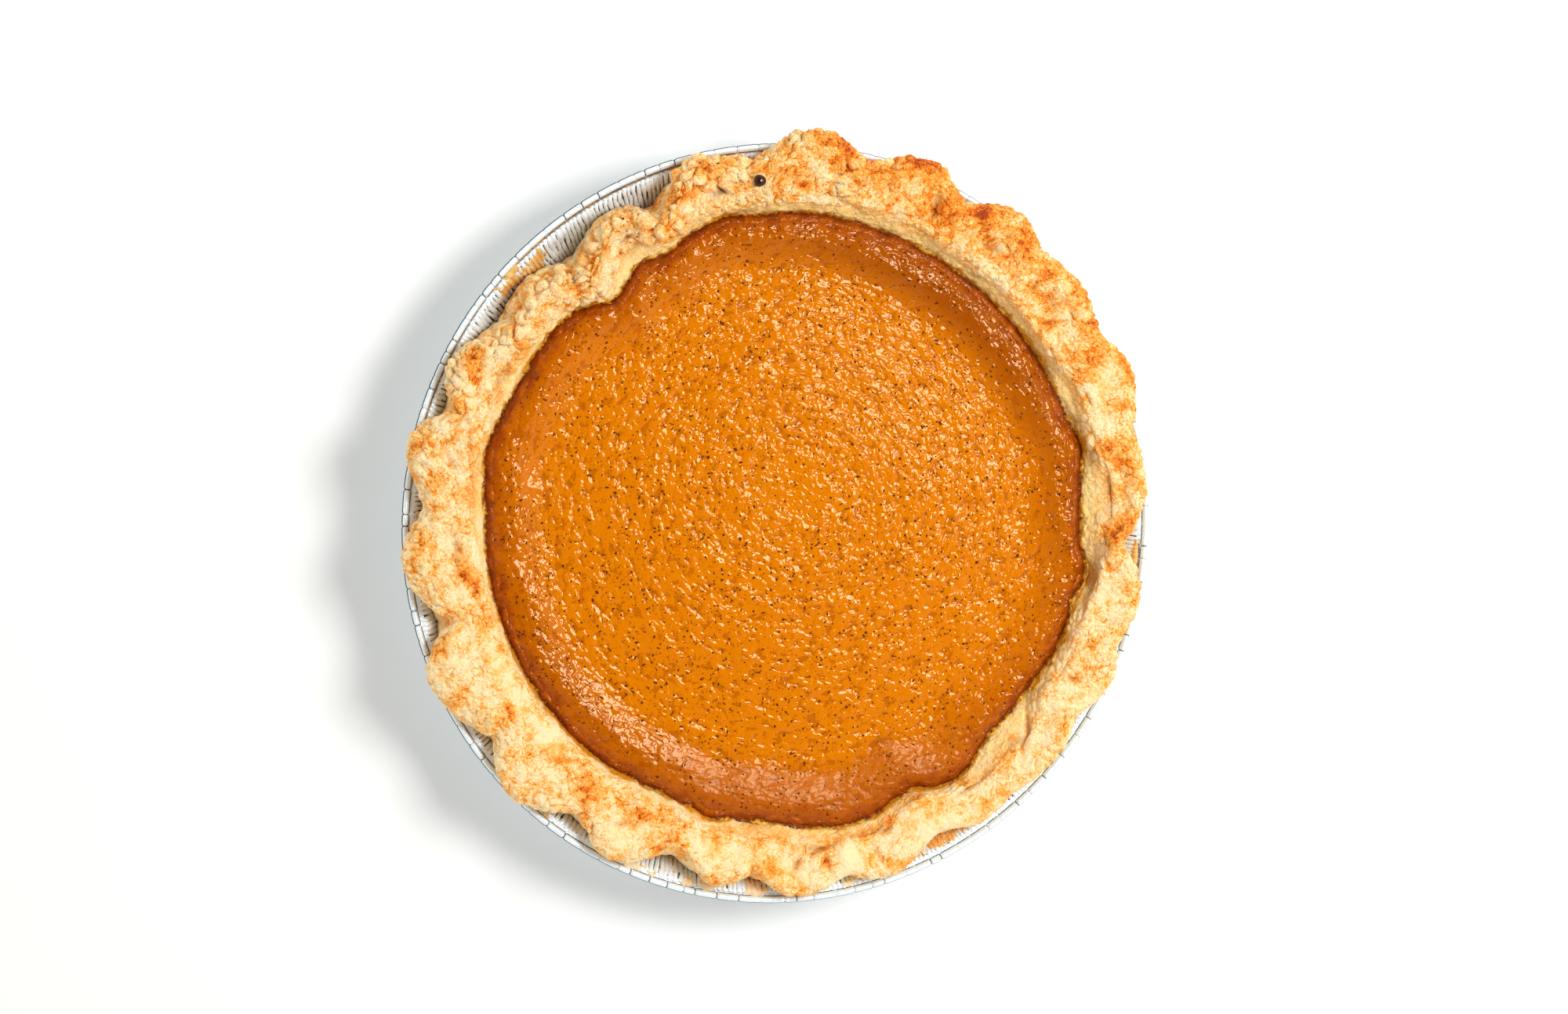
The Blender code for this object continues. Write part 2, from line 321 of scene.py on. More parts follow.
def build_mottle():
    """Node group: soft uneven patches, and a finer grain within them, both from 0 to 1."""
    group = bpy.data.node_groups.new("Mottle", "ShaderNodeTree")
    for name, default in (("Patch Size", 4.0), ("Grain Size", 0.8)):
        group.interface.new_socket(name, in_out="INPUT", socket_type="NodeSocketFloat").default_value = default
    for name in ("Patches", "Grain"):
        group.interface.new_socket(name, in_out="OUTPUT", socket_type="NodeSocketFloat")
    given = group.nodes.new("NodeGroupInput")
    given_out = group.nodes.new("NodeGroupOutput")
    place = add_node(group, "ShaderNodeTexCoord", "place").outputs["Object"]
    for size, result, detail in (("Patch Size", "Patches", 3.0), ("Grain Size", "Grain", 2.0)):
        scale = add_node(
            group, "ShaderNodeMath", "per metre", {0: 1.0 / MM, 1: given.outputs[size]}, operation="DIVIDE"
        ).outputs[0]
        inputs = {"Vector": place, "Scale": scale, "Detail": detail, "Roughness": 0.55}
        made = add_node(group, "ShaderNodeTexNoise", result, inputs).outputs["Fac"]
        spread = {"Value": made, "From Min": 0.25, "From Max": 0.75}
        made = add_node(group, "ShaderNodeMapRange", "full range", spread).outputs[0]
        group.links.new(made, given_out.inputs[result])
    return group


MOTTLE = build_mottle()


def mottle(finish, patch_size, grain_size):
    """Patches and grain of the shared group, at this finish's own sizes."""
    node = finish.add("ShaderNodeGroup", "mottle", node_tree=MOTTLE)
    node.inputs["Patch Size"].default_value = patch_size
    node.inputs["Grain Size"].default_value = grain_size
    return node.outputs["Patches"], node.outputs["Grain"]


# BRIGHT_FOIL is the foil's lit tone, tinted blue against the warm light the crust throws on it; SHADED_FOIL is the
# painted shade and dark reflection laid into the marked hollows.
BRIGHT_FOIL = colour(236, 249, 255)
SHADED_FOIL = colour(52, 52, 46)
BAKED_ON = colour(150, 112, 58)
BURNT_ON = colour(70, 54, 30)

foil = Finish("foil")
foil_patches, foil_grain = mottle(foil, 5.0, 0.7)
foil_marks = between(foil, sum_of(foil, read_paint(foil, "marks"), times(foil, foil_grain, 0.25)), 0.25, 0.75)
# Painted shade: the marked hollows take the dark foil colour.
hollow = between(foil, read_paint(foil, "painted_shade_hollows"), 0.74, 1.0)
foil_with_painted_shade = mixed(foil, hollow, BRIGHT_FOIL, SHADED_FOIL)
foil.set(
    base_color=mixed(foil, foil_marks, foil_with_painted_shade, mixed(foil, foil_patches, BURNT_ON, BAKED_ON)),
    metallic=between(foil, foil_marks, 0.0, 1.0, 0.15, 0.0),
    roughness=between(foil, foil_grain, 0.0, 1.0, 0.2, 0.34),
    normal=foil.add(
        "ShaderNodeBump", "dimples", {"Strength": 0.5, "Distance": 0.0002, "Height": foil_grain}
    ).outputs[0],
)
foil.wear(tin)
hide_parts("tin")
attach(tin, "root")

# --- Crust --------------------------------------------------------------------------------------
# Shortcrust rolled about 4 mm thick, laid in the tin and folded up at the rim, where thumb and
# finger pinched it into uneven flutes. Baking shrank it back in places and raised blisters on it.

CRUST_SECTIONS = 1080
CRUST_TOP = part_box("crust")[1].z / MM
CRUST_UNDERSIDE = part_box("crust")[0].z / MM
SHELL_THICKNESS = 4.0
SHELL_LEVEL = 4.8
ROPE_HEIGHT_SWING = 1.6
ROPE_HEIGHT = CRUST_TOP - ROPE_HEIGHT_SWING
HIGHEST_ROPE_BEARING = 110.0
BRINK_HEIGHT = 34.6
BRINK_HEIGHT_SWING = 1.5
HIGHEST_BRINK_BEARING = 60.0
CLEARANCE = 0.4
LIP_ON_BEAD = ((1.8, 31.3), (0.0, 34.0), (1.4, 36.6))  # setback from the reach, and height
LIP_DRAWN_IN = ((1.4, 31.0), (2.6, 34.0), (3.8, 36.6))
LIP_UNDERSIDE = (2.6, 30.7)
LAST_LINED_HEIGHT = 27.0
FLANK_FOOT = 1.2
DRAWN_IN = (103.0, 108.0)
CROWN_SHARE = 0.25
HOLLOW_SHARE = 0.66
HOLLOW_DROP = 0.45
SLOPE_POINT = (0.6, 0.45)

# Each flute: the bearing, reach and brink (inner edge) at its tip, how deep the finger pressed
# behind the tip, then the bearing, reach and brink at the notch that follows it.
FLUTES = (
    (7.0, 110.0, 98.0, 3.0, 15.0, 108.5, 94.0),
    (24.0, 114.0, 97.0, 1.5, 31.5, 110.0, 93.5),
    (39.5, 113.5, 93.5, 2.5, 46.5, 111.0, 94.0),
    (53.0, 115.5, 94.5, 2.5, 61.0, 108.5, 94.5),
    (68.5, 115.5, 95.5, 2.0, 77.5, 109.5, 95.5),
    (85.5, 116.5, 95.0, 1.0, 96.0, 107.5, 94.0),
    (105.0, 111.0, 93.5, 1.0, 113.0, 100.0, 90.0),
    (119.5, 105.5, 93.5, 2.0, 128.5, 99.5, 85.0),
    (137.5, 104.5, 91.5, 1.0, 144.5, 102.5, 92.0),
    (154.0, 109.5, 92.5, 1.0, 160.5, 105.0, 92.0),
    (167.0, 113.5, 92.5, 1.0, 176.5, 106.5, 93.0),
    (184.0, 112.5, 90.5, 1.0, 195.0, 104.5, 89.0),
    (202.5, 113.5, 88.5, 1.0, 215.0, 106.0, 88.0),
    (223.0, 112.0, 88.0, 1.0, 233.5, 104.5, 88.0),
    (241.0, 109.5, 88.0, 1.5, 251.5, 102.0, 89.0),
    (259.0, 107.0, 91.0, 1.0, 265.0, 104.5, 92.0),
    (272.5, 109.0, 94.0, 1.5, 280.5, 105.5, 93.5),
    (286.5, 108.5, 93.5, 1.0, 297.0, 104.0, 89.5),
    (305.0, 107.0, 94.0, 1.5, 311.0, 106.5, 96.0),
    (320.0, 108.0, 96.0, 2.0, 327.5, 106.0, 93.0),
    (334.5, 110.0, 93.0, 1.0, 340.5, 107.0, 93.0),
    (347.5, 110.0, 95.0, 1.5, 357.0, 104.5, 96.0),
)

# Creases, pockets and alcoves: bearing, radius, half-length, half-width, lean of the length from the
# rim's own direction (turning outwards with rising bearing), and depth.
CREASES = (
    (4.5, 97.5, 9.0, 1.6, -2.0, 2.6),
    (15.0, 95.6, 4.0, 0.9, -15.0, 1.2),
    (19.7, 104.0, 2.4, 0.6, -65.0, 1.0),
    (22.5, 97.0, 3.5, 0.7, -5.0, 1.2),
    (28.0, 96.8, 3.0, 0.7, -20.0, 1.0),
    (37.2, 99.0, 3.4, 0.8, -60.0, 1.8),
    (36.6, 104.3, 2.6, 0.8, 20.0, 1.5),
    (40.5, 101.0, 4.5, 3.2, 0.0, 1.4),
    (43.8, 101.0, 2.6, 0.7, 65.0, 1.8),
    (40.0, 95.9, 4.0, 0.6, 5.0, 1.0),
    (53.5, 101.0, 4.5, 2.4, -5.0, 2.0),
    (53.5, 98.4, 3.6, 0.7, 0.0, 1.4),
    (56.3, 103.5, 5.0, 0.8, -52.0, 1.3),
    (53.3, 106.0, 2.5, 1.5, 30.0, 1.0),
    (65.3, 102.0, 5.0, 1.8, 75.0, 2.8),
    (68.5, 96.6, 6.5, 0.7, -14.0, 1.3),
    (74.0, 105.0, 5.0, 0.9, 80.0, 1.0),
    (81.3, 106.5, 5.5, 0.9, 78.0, 1.3),
    (81.5, 95.8, 6.0, 0.8, 17.0, 1.4),
    (88.0, 99.0, 1.8, 0.9, 0.0, 0.8),
    (96.5, 104.0, 4.0, 1.3, -75.0, 1.3),
    (101.7, 98.6, 2.6, 0.9, 50.0, 2.6),
    (103.5, 98.0, 3.5, 2.0, 0.0, 1.2),
    (110.2, 99.9, 1.6, 0.8, 0.0, 1.2),
    (119.4, 94.6, 3.0, 1.6, -35.0, 2.6),
    (119.8, 90.6, 6.0, 2.4, 0.0, 1.8),
    (117.6, 100.5, 4.0, 0.9, 75.0, 1.4),
    (131.4, 95.5, 5.0, 0.9, -62.0, 1.8),
    (140.5, 99.0, 2.6, 0.7, 55.0, 1.4),
    (148.3, 101.5, 3.0, 0.8, 70.0, 1.3),
    (152.5, 92.5, 5.5, 1.8, 0.0, 2.2),
    (168.0, 100.4, 3.6, 0.7, -35.0, 1.5),
    (171.4, 91.0, 1.8, 0.9, -20.0, 1.3),
    (178.0, 104.0, 3.2, 0.9, 80.0, 1.1),
    (183.0, 95.3, 3.6, 0.7, -18.0, 1.5),
    (187.5, 95.0, 2.8, 0.7, -60.0, 0.9),
    (194.5, 101.0, 3.6, 1.2, 80.0, 1.2),
    (214.5, 101.5, 3.6, 1.1, 85.0, 1.1),
    (224.5, 95.0, 4.5, 0.8, -38.0, 1.3),
    (236.5, 104.5, 3.0, 0.8, 70.0, 1.4),
    (240.6, 98.0, 4.0, 0.8, -28.0, 1.6),
    (249.0, 97.5, 4.5, 1.2, 80.0, 1.2),
    (264.5, 99.5, 4.0, 1.1, 80.0, 1.1),
    (272.3, 99.0, 2.8, 1.1, -45.0, 2.0),
    (276.5, 95.3, 5.5, 0.9, -24.0, 2.0),
    (277.3, 98.8, 4.0, 0.9, 86.0, 1.3),
    (286.2, 100.0, 4.5, 0.9, 80.0, 1.4),
    (288.8, 94.6, 2.6, 0.9, -30.0, 1.8),
    (285.5, 92.8, 4.5, 1.3, 5.0, 1.4),
    (307.0, 94.8, 5.0, 1.1, 0.0, 2.2),
    (312.0, 99.0, 2.6, 0.7, 60.0, 1.0),
    (319.6, 95.6, 8.0, 0.9, -32.0, 2.6),
    (332.3, 97.6, 2.2, 0.9, -75.0, 1.8),
    (334.0, 93.8, 5.0, 1.5, 0.0, 1.6),
    (343.5, 102.5, 4.0, 0.9, 82.0, 1.2),
    (350.5, 93.9, 5.5, 1.1, 6.0, 2.2),
    (359.3, 99.0, 3.5, 1.2, 50.0, 1.8),
)

# Where the oven browned the crust most: bearing, radius, half-length along the rim, half-width and strength.
BROWNED = (
    (0.0, 100.5, 4.0, 3.0, 0.8),
    (11.0, 105.0, 6.0, 3.5, 0.55),
    (24.0, 111.8, 5.5, 2.0, 0.8),
    (28.5, 104.0, 4.0, 5.5, 0.7),
    (44.0, 107.0, 3.5, 3.0, 0.55),
    (50.0, 108.5, 3.5, 4.5, 0.7),
    (53.5, 99.0, 4.5, 1.6, 0.6),
    (58.0, 107.5, 4.0, 5.0, 0.7),
    (62.5, 103.0, 4.5, 4.0, 0.7),
    (70.0, 111.5, 6.0, 3.5, 0.85),
    (64.5, 98.0, 6.0, 2.0, 0.65),
    (73.0, 104.0, 2.0, 4.0, 0.6),
    (82.0, 110.0, 4.0, 4.5, 0.95),
    (88.2, 98.7, 1.8, 1.0, 1.3),
    (92.0, 101.0, 4.0, 3.5, 0.45),
    (104.0, 106.0, 6.0, 2.2, 0.6),
    (108.0, 100.0, 3.5, 3.5, 0.4),
    (112.0, 91.5, 6.5, 2.5, 0.5),
    (139.0, 101.5, 5.0, 2.0, 0.6),
    (147.0, 92.0, 4.0, 1.6, 0.55),
    (151.0, 105.0, 6.0, 3.0, 0.75),
    (166.0, 109.0, 6.0, 3.5, 0.4),
    (172.5, 100.5, 5.0, 3.0, 0.5),
    (182.5, 106.5, 6.0, 3.5, 0.45),
    (187.5, 95.5, 3.0, 2.6, 0.5),
    (193.0, 101.8, 5.0, 1.8, 0.6),
    (199.0, 105.8, 2.6, 3.0, 0.85),
    (201.0, 95.0, 4.0, 1.8, 0.45),
    (213.0, 102.0, 5.0, 3.5, 0.4),
    (212.0, 95.5, 4.0, 1.6, 0.35),
    (225.0, 94.5, 6.0, 1.8, 0.65),
    (232.5, 99.0, 5.0, 5.0, 0.55),
    (242.5, 93.0, 8.0, 2.6, 0.6),
    (249.5, 98.0, 6.5, 4.5, 0.75),
    (257.0, 103.8, 4.0, 1.8, 0.5),
    (267.5, 101.5, 5.0, 5.0, 0.7),
    (277.3, 98.5, 1.4, 3.5, 0.7),
    (290.0, 105.0, 6.0, 2.0, 0.3),
    (305.0, 103.0, 6.0, 3.0, 0.4),
    (311.8, 99.5, 2.6, 2.6, 0.55),
    (322.0, 102.5, 5.0, 2.6, 0.3),
    (332.0, 101.0, 3.0, 3.5, 0.4),
    (343.0, 98.5, 4.0, 2.5, 0.4),
    (350.0, 107.5, 6.0, 1.5, 0.45),
    (358.0, 98.0, 3.5, 3.0, 0.95),
)

# Where the dough stayed pale and smooth, with hardly a blister: bearing, radius, half-length and half-width.
SMOOTH = (
    (23.5, 103.0, 6.0, 4.0),
    (183.0, 90.0, 9.0, 2.5),
    (206.0, 92.5, 16.0, 3.0),
    (221.0, 92.0, 9.0, 3.5),
    (259.0, 96.0, 9.0, 3.0),
    (282.0, 98.5, 4.0, 4.0),
    (294.5, 98.5, 7.0, 6.0),
    (241.0, 101.5, 4.0, 2.5),
)

# Recesses that hold olive-brown shade: bearing, radius, half-length, half-width and strength.
SHADED = (
    (17.5, 92.6, 8.0, 0.8, 0.9),
    (31.0, 91.2, 10.0, 0.8, 0.8),
    (46.0, 91.4, 5.0, 0.7, 0.35),
    (101.8, 98.4, 1.8, 0.8, 1.2),
    (98.5, 92.2, 6.0, 0.7, 0.7),
    (119.4, 95.2, 2.6, 0.8, 0.9),
    (152.0, 93.2, 4.5, 1.0, 0.55),
    (183.5, 96.2, 5.0, 0.8, 0.6),
    (265.0, 88.3, 8.0, 0.8, 0.4),
    (277.0, 94.6, 5.0, 0.8, 0.7),
    (287.5, 94.0, 4.5, 1.1, 0.65),
    (307.0, 95.4, 7.0, 0.8, 0.75),
    (318.0, 95.4, 5.0, 0.8, 0.7),
    (326.0, 91.4, 6.0, 0.8, 0.5),
    (349.0, 93.8, 9.0, 0.9, 0.75),
    (4.5, 97.2, 8.0, 1.1, 0.85),
    (12.5, 94.8, 4.0, 0.9, 0.75),
    (356.5, 96.4, 4.0, 1.4, 0.95),
    (23.0, 94.4, 4.0, 0.8, 0.6),
    (53.0, 92.4, 5.0, 0.6, 0.45),
    (70.0, 92.0, 6.0, 0.6, 0.4),
    (110.5, 90.6, 4.0, 0.8, 0.5),
    (132.0, 87.0, 4.0, 0.8, 0.45),
    (297.0, 89.6, 4.0, 0.8, 0.6),
)

FILLING_RADIUS = 88.5
FILLING_OFFSET = 2.2
FILLING_OFFSET_BEARING = 40.0
FILLING_EDGE_HEIGHT = 26.9
EDGE_SWELLS = (  # where the filling's edge swells out or is pushed in: bearing, half-width, change
    (14.5, 5.0, 2.6),
    (87.0, 12.0, 1.2),
    (101.0, 4.0, 1.6),
    (114.0, 4.5, -3.0),
    (126.5, 6.0, -6.2),
    (165.0, 7.0, 2.3),
    (243.0, 7.0, -1.2),
    (256.0, 3.0, 1.2),
    (283.0, 10.0, 3.2),
    (296.0, 3.5, -1.6),
    (305.5, 6.5, 4.2),
    (338.0, 9.0, 1.9),
    (351.0, 4.0, 3.0),
)


def blend(start, end, share):
    return start + (end - start) * share


def eased(share):
    """Share of the way from 0 to 1, flat at both ends."""
    return 0.5 - 0.5 * np.cos(np.pi * np.clip(share, 0.0, 1.0))


def swing(bearings, towards):
    """1 at the bearing towards, -1 opposite it."""
    return np.cos(np.radians(bearings - towards))


def rim_at(bearings):
    """Reach, brink radius and finger press of the rim: broad round tips, pinched notches between."""
    knots = []
    for tip, reach, brink, press, notch, notch_reach, notch_brink in FLUTES:
        knots += [(tip, reach, brink, press), (notch, notch_reach, notch_brink, 0.0)]
    knots = np.array([(knots[-1][0] - 360.0, *knots[-1][1:])] + knots + [(knots[0][0] + 360.0, *knots[0][1:])])
    turned = np.where(bearings < knots[0, 0], bearings + 360.0, bearings)
    left = np.searchsorted(knots[:, 0], turned, side="right") - 1
    is_tip = left % 2 == 1
    tips, notches = knots[np.where(is_tip, left, left + 1)], knots[np.where(is_tip, left + 1, left)]
    share = (turned - tips[:, 0]) / (notches[:, 0] - tips[:, 0])
    pinch = 0.5 * eased(share) + 0.5 * (1.0 - np.cos(0.5 * np.pi * share))
    return blend(tips[:, 1:], notches[:, 1:], pinch[:, None]).T


def filling_edge(bearings):
    """Radius at which the filling meets the crust."""
    radii = FILLING_RADIUS + FILLING_OFFSET * swing(bearings, FILLING_OFFSET_BEARING)
    for centre, half_width, change in EDGE_SWELLS:
        radii = radii + change * np.exp(-((apart(bearings, centre) / half_width) ** 2))
    return radii


def lining_radius(height):
    """Outer radius of the crust where it lines the tin's wall."""
    slope = (WALL_TOP[0] - WALL_FOOT[0]) / (WALL_TOP[1] - WALL_FOOT[1])
    return WALL_FOOT[0] + (height - WALL_FOOT[1]) * slope - CLEARANCE * math.hypot(1.0, slope)


def crust_lines(bearings):
    """Control points of the crust's section at each bearing, as an array of bearing, point, and (r, z)."""
    reach, brink, press = rim_at(bearings)
    drawn = 1.0 - eased((reach - DRAWN_IN[0]) / (DRAWN_IN[1] - DRAWN_IN[0]))
    crown = ROPE_HEIGHT + ROPE_HEIGHT_SWING * swing(bearings, HIGHEST_ROPE_BEARING)
    brink_height = BRINK_HEIGHT + BRINK_HEIGHT_SWING * swing(bearings, HIGHEST_BRINK_BEARING)
    slope = (WALL_TOP[0] - WALL_FOOT[0]) / (WALL_TOP[1] - WALL_FOOT[1])
    meets = WALL_FOOT[1] + (reach - lining_radius(WALL_FOOT[1])) / slope
    leaving = blend(LAST_LINED_HEIGHT, np.minimum(meets, LAST_LINED_HEIGHT) - FLANK_FOOT, drawn)
    bridge = np.minimum(WALL_TOP[0], reach - LIP_UNDERSIDE[0]), LIP_UNDERSIDE[1] + 0.0 * reach
    flank = lining_radius(leaving + FLANK_FOOT), leaving + FLANK_FOOT
    points = [(lining_radius(leaving), leaving)]
    points.append((blend(bridge[0], flank[0], drawn), blend(bridge[1], flank[1], drawn)))
    for over, shrunk in zip(LIP_ON_BEAD, LIP_DRAWN_IN):
        points.append((reach - blend(over[0], shrunk[0], drawn), blend(over[1], shrunk[1], drawn)))
    shoulder = points[-1][0]
    edge = filling_edge(bearings), FILLING_EDGE_HEIGHT + CLEARANCE + 0.0 * reach
    points.append((blend(shoulder, brink, CROWN_SHARE), crown))
    hollow = blend(crown, brink_height, HOLLOW_DROP) - press
    points.append((blend(shoulder, brink, HOLLOW_SHARE), hollow))
    points.append((brink, brink_height))
    sloped = blend(edge[0], brink, SLOPE_POINT[0]), blend(edge[1], brink_height, SLOPE_POINT[1])
    points += [sloped, edge, (edge[0] - 0.8, edge[1] - 2.5)]
    return np.array(points).transpose(2, 0, 1)


SHOWN_ROWS = 84
ROUNDING = 22  # how often each shown point is averaged with its neighbours


def resampled(line, count):
    """The same line through evenly spaced points."""
    length = np.append(0.0, np.cumsum(np.hypot(*np.diff(line, axis=0).T)))
    at = np.linspace(0.0, length[-1], count)
    return np.stack([np.interp(at, length, line[:, 0]), np.interp(at, length, line[:, 1])], -1)


def crust_sections(bearings):
    """Radius and height of every row of the crust: its lining, what shows of it, and its hidden inside."""
    shown = np.stack([resampled(line, SHOWN_ROWS) for line in crust_lines(bearings)], 1)
    for _ in range(ROUNDING):
        shown[1:-1] = 0.25 * shown[:-2] + 0.5 * shown[1:-1] + 0.25 * shown[2:]
    low = CRUST_UNDERSIDE
    lining = [(BASE_RADIUS - 2.0 * CLEARANCE, low), (lining_radius(WALL_FOOT[1] + CLEARANCE), WALL_FOOT[1] + CLEARANCE)]
    lining += [(lining_radius(h), h) for h in (8.0, 14.0)]
    floor = low - CLEARANCE + SHELL_THICKNESS
    hidden = [(lining_radius(14.0) - SHELL_LEVEL, 14.0), (WALL_FOOT[0] - SHELL_LEVEL, floor + 1.0)]
    hidden.append((WALL_FOOT[0] - SHELL_LEVEL - SHELL_THICKNESS, floor))
    spread = np.ones(len(bearings))
    rows = [np.stack([r * spread, z * spread], -1) for r, z in lining]
    rows += list(shown)
    rows += [np.stack([r * spread, z * spread], -1) for r, z in hidden]
    return np.array(rows), len(lining)


def outwards(places):
    """Direction square to the surface at each point of rows that go right round the axis."""
    along = np.roll(places, -1, axis=1) - np.roll(places, 1, axis=1)
    up = np.gradient(places, axis=0)
    square = np.cross(along, up)
    return square / np.maximum(np.linalg.norm(square, axis=-1, keepdims=True), 1e-9)


def blisters(places, size, seed, warp=0.35):
    """Distance from each place to the nearest seam between blisters about as wide as size."""
    bent = np.stack([noise_at(places, size * 1.3, seed + n) for n in range(3)], -1)
    points = ((places + warp * size * bent) / size + 31.7 * seed).reshape(-1, 3)
    nearest = np.array([noise.voronoi(p)[0][:2] for p in points.tolist()])
    return ((nearest[:, 1] - nearest[:, 0]) * size).reshape(places.shape[:-1])


def spots(table, bearings, radii):
    """Each row's strength over the surface, for rows of bearing, radius, half-length, half-width, strength."""
    total = np.zeros(radii.shape)
    for bearing, radius, length, width, *strength in table:
        along = np.radians(apart(bearings, bearing)) * radius / length
        across = (radii - radius) / width
        total = np.maximum(total, (strength[0] if strength else 1.0) * np.exp(-(along**2) - across**2))
    return total


def crease_depth(bearings, radii):
    """How deep the creases, pockets and alcoves go, and how near each place is to the bottom of one."""
    depth, nearness = np.zeros(radii.shape), np.zeros(radii.shape)
    for bearing, radius, length, width, lean, deepest in CREASES:
        arc = np.radians(apart(bearings, bearing)) * radius
        out = radii - radius
        turn = math.radians(lean)
        along = (arc * math.cos(turn) + out * math.sin(turn)) / length
        across = (out * math.cos(turn) - arc * math.sin(turn)) / width
        shape = np.exp(-(along**2) - np.abs(across) ** 1.5)
        depth = np.maximum(depth, deepest * shape)
        nearness = np.maximum(nearness, min(1.0, deepest / 2.0) * shape)
    return depth, nearness


crust_bearings = np.arange(CRUST_SECTIONS) * 360.0 / CRUST_SECTIONS
rows, first_shown = crust_sections(crust_bearings)
shown = slice(first_shown, first_shown + SHOWN_ROWS)
crust_places = places_at(crust_bearings, rows[..., 0], rows[..., 1])
seen = crust_places[shown]
seen_radii = rows[shown][..., 0]
reach, brink, _ = rim_at(crust_bearings)
edge = filling_edge(crust_bearings)

fade = np.minimum(np.arange(SHOWN_ROWS), np.arange(SHOWN_ROWS)[::-1])[:, None]
fade = np.clip((fade - 1) / 6.0, 0.0, 1.0)
wall_share = np.clip((brink - seen_radii) / np.maximum(brink - edge, 1.0), 0.0, 1.0)
wall_share *= np.arange(SHOWN_ROWS)[:, None] > SHOWN_ROWS * 0.5
smoothness = spots(SMOOTH, crust_bearings, seen_radii)
wall_calm = 0.62 - 0.5 * np.exp(-((apart(crust_bearings, 330.0) / 85.0) ** 4))
pebbly = (1.0 - 0.8 * smoothness) * (1.0 - wall_calm * eased(wall_share * 1.6))
patches = 0.5 + 0.5 * noise_at(seen, 9.0, 5)
pebbly = pebbly * (0.5 + 0.75 * patches) * (0.95 + 0.3 * swing(crust_bearings, 100.0))
coarse = blisters(seen, 4.0, 3, 0.55)
small = blisters(seen, 2.2, 8, 0.6)
plump = np.exp(-((apart(crust_bearings, 128.0) / 38.0) ** 2))
mix = np.clip(0.4 - 0.5 * plump + 3.0 * noise_at(seen, 8.0, 6), 0.0, 1.0)
domes = blend(np.sqrt(np.clip(coarse / 1.6, 0.0, 1.0)), 0.1 + np.sqrt(np.clip(small / 1.0, 0.0, 1.0)) * 0.65, mix)
seam = blend(coarse, small * 1.6, mix)
depth, nearness = crease_depth(crust_bearings, seen_radii)
knobbly = 1.0 + plump
rise = np.arange(SHOWN_ROWS)[:, None] / SHOWN_ROWS
round_lip = blend(0.4, 1.0, eased((rise - 0.08) / 0.24))
relief = 1.5 * knobbly * round_lip * pebbly * (domes - 0.6)
relief += 0.4 * noise_at(seen, 5.0, 9) + 0.22 * (1.0 - 0.5 * plump) * round_lip * noise_at(seen, 1.4, 10)
crust_places[shown] = seen + outwards(seen) * ((relief - 1.25 * depth) * fade)[..., None]
crust_places[..., 2] = np.minimum(crust_places[..., 2], CRUST_TOP)
crust = lathe("fluted_crust", crust_places, CRUST_UNDERSIDE, CRUST_UNDERSIDE - CLEARANCE + SHELL_THICKNESS)

baked = spots(BROWNED, crust_bearings, seen_radii)
outer = eased((seen_radii - brink) / (reach - brink))
paler = np.exp(-((apart(crust_bearings, 330.0) / 45.0) ** 2)) + 0.6 * np.exp(-((apart(crust_bearings, 130.0) / 40.0) ** 2))
inner = np.exp(-(((seen_radii - 91.5) / 4.5) ** 2)) * np.exp(-((apart(crust_bearings, 240.0) / 95.0) ** 4))
# The nearness term browns the bottoms of the creases: painted shade.
heat = 0.31 + 0.11 * swing(crust_bearings, 50.0) - 0.13 * paler + 0.3 * inner + 0.42 * baked + 0.12 * outer + 0.2 * nearness - 0.06 * smoothness
heat += 0.10 * noise_at(seen, 6.0, 12) + 0.08 * noise_at(seen, 2.2, 13)
browner_lip = np.exp(-((apart(crust_bearings, 66.0) / 22.0) ** 4)) * eased((seen_radii - 95.0) / 5.0)
heat += 0.09 * browner_lip


def whole(values, resting=0.0):
    """Values of the shown rows, with a resting value on the rows that don't show."""
    full = np.full(crust_places.shape[:2], resting)
    full[shown] = values
    return full


# Painted shade: the lowest fifth of the shown rows, the flank below the rope, is marked here and its colour is mixed
# towards a shaded tan.
flank = np.clip(1.0 - rise / 0.2, 0.0, 1.0)
paint(crust, "baked", whole(heat, 0.2))
paint(crust, "seam", whole(seam, 1.0))
# The wall's pale wet colour is weighted towards bearing 50, where the lamp leaves the wall in shade, and thinned on the
# lit side opposite: painted light that evens out the lamp's shading.
wetness_with_painted_light = 0.65 + 0.35 * swing(crust_bearings, 50.0)
paint(crust, "wet", whole(eased(wall_share * 1.5) * fade * wetness_with_painted_light))
paint(crust, "pebbly", whole(pebbly))
paint(crust, "flank", whole(flank))
# Painted shade: the listed recesses and the bottoms of the deeper creases are marked here and darkened to an
# olive-brown.
shaded = spots(SHADED, crust_bearings, seen_radii)
paint(crust, "crevice_shade", whole(np.clip(np.maximum(shaded, 0.9 * nearness - 0.35), 0.0, 1.0)))
paint(crust, "seep", whole(np.clip(1.0 - (seen_radii - edge) / 2.2, 0.0, 1.0) * (wall_share > 0)))

WARM_SHEEN = (1.0, 0.8, 0.52, 1.0)
PALE_DOUGH = colour(250, 222, 172)
CREAM = colour(250, 200, 126)
GOLD = colour(247, 167, 64)
AMBER = colour(236, 128, 22)
TAN = colour(210, 90, 12)
DARK_BAKE = colour(160, 60, 16)
WET_DOUGH = colour(255, 220, 140)
OLIVE_DOUGH = colour(212, 156, 64)
CREVICE_SHADE = colour(150, 92, 26)
SHADED_FLANK = colour(234, 192, 138)
SEEPED = colour(206, 128, 10)

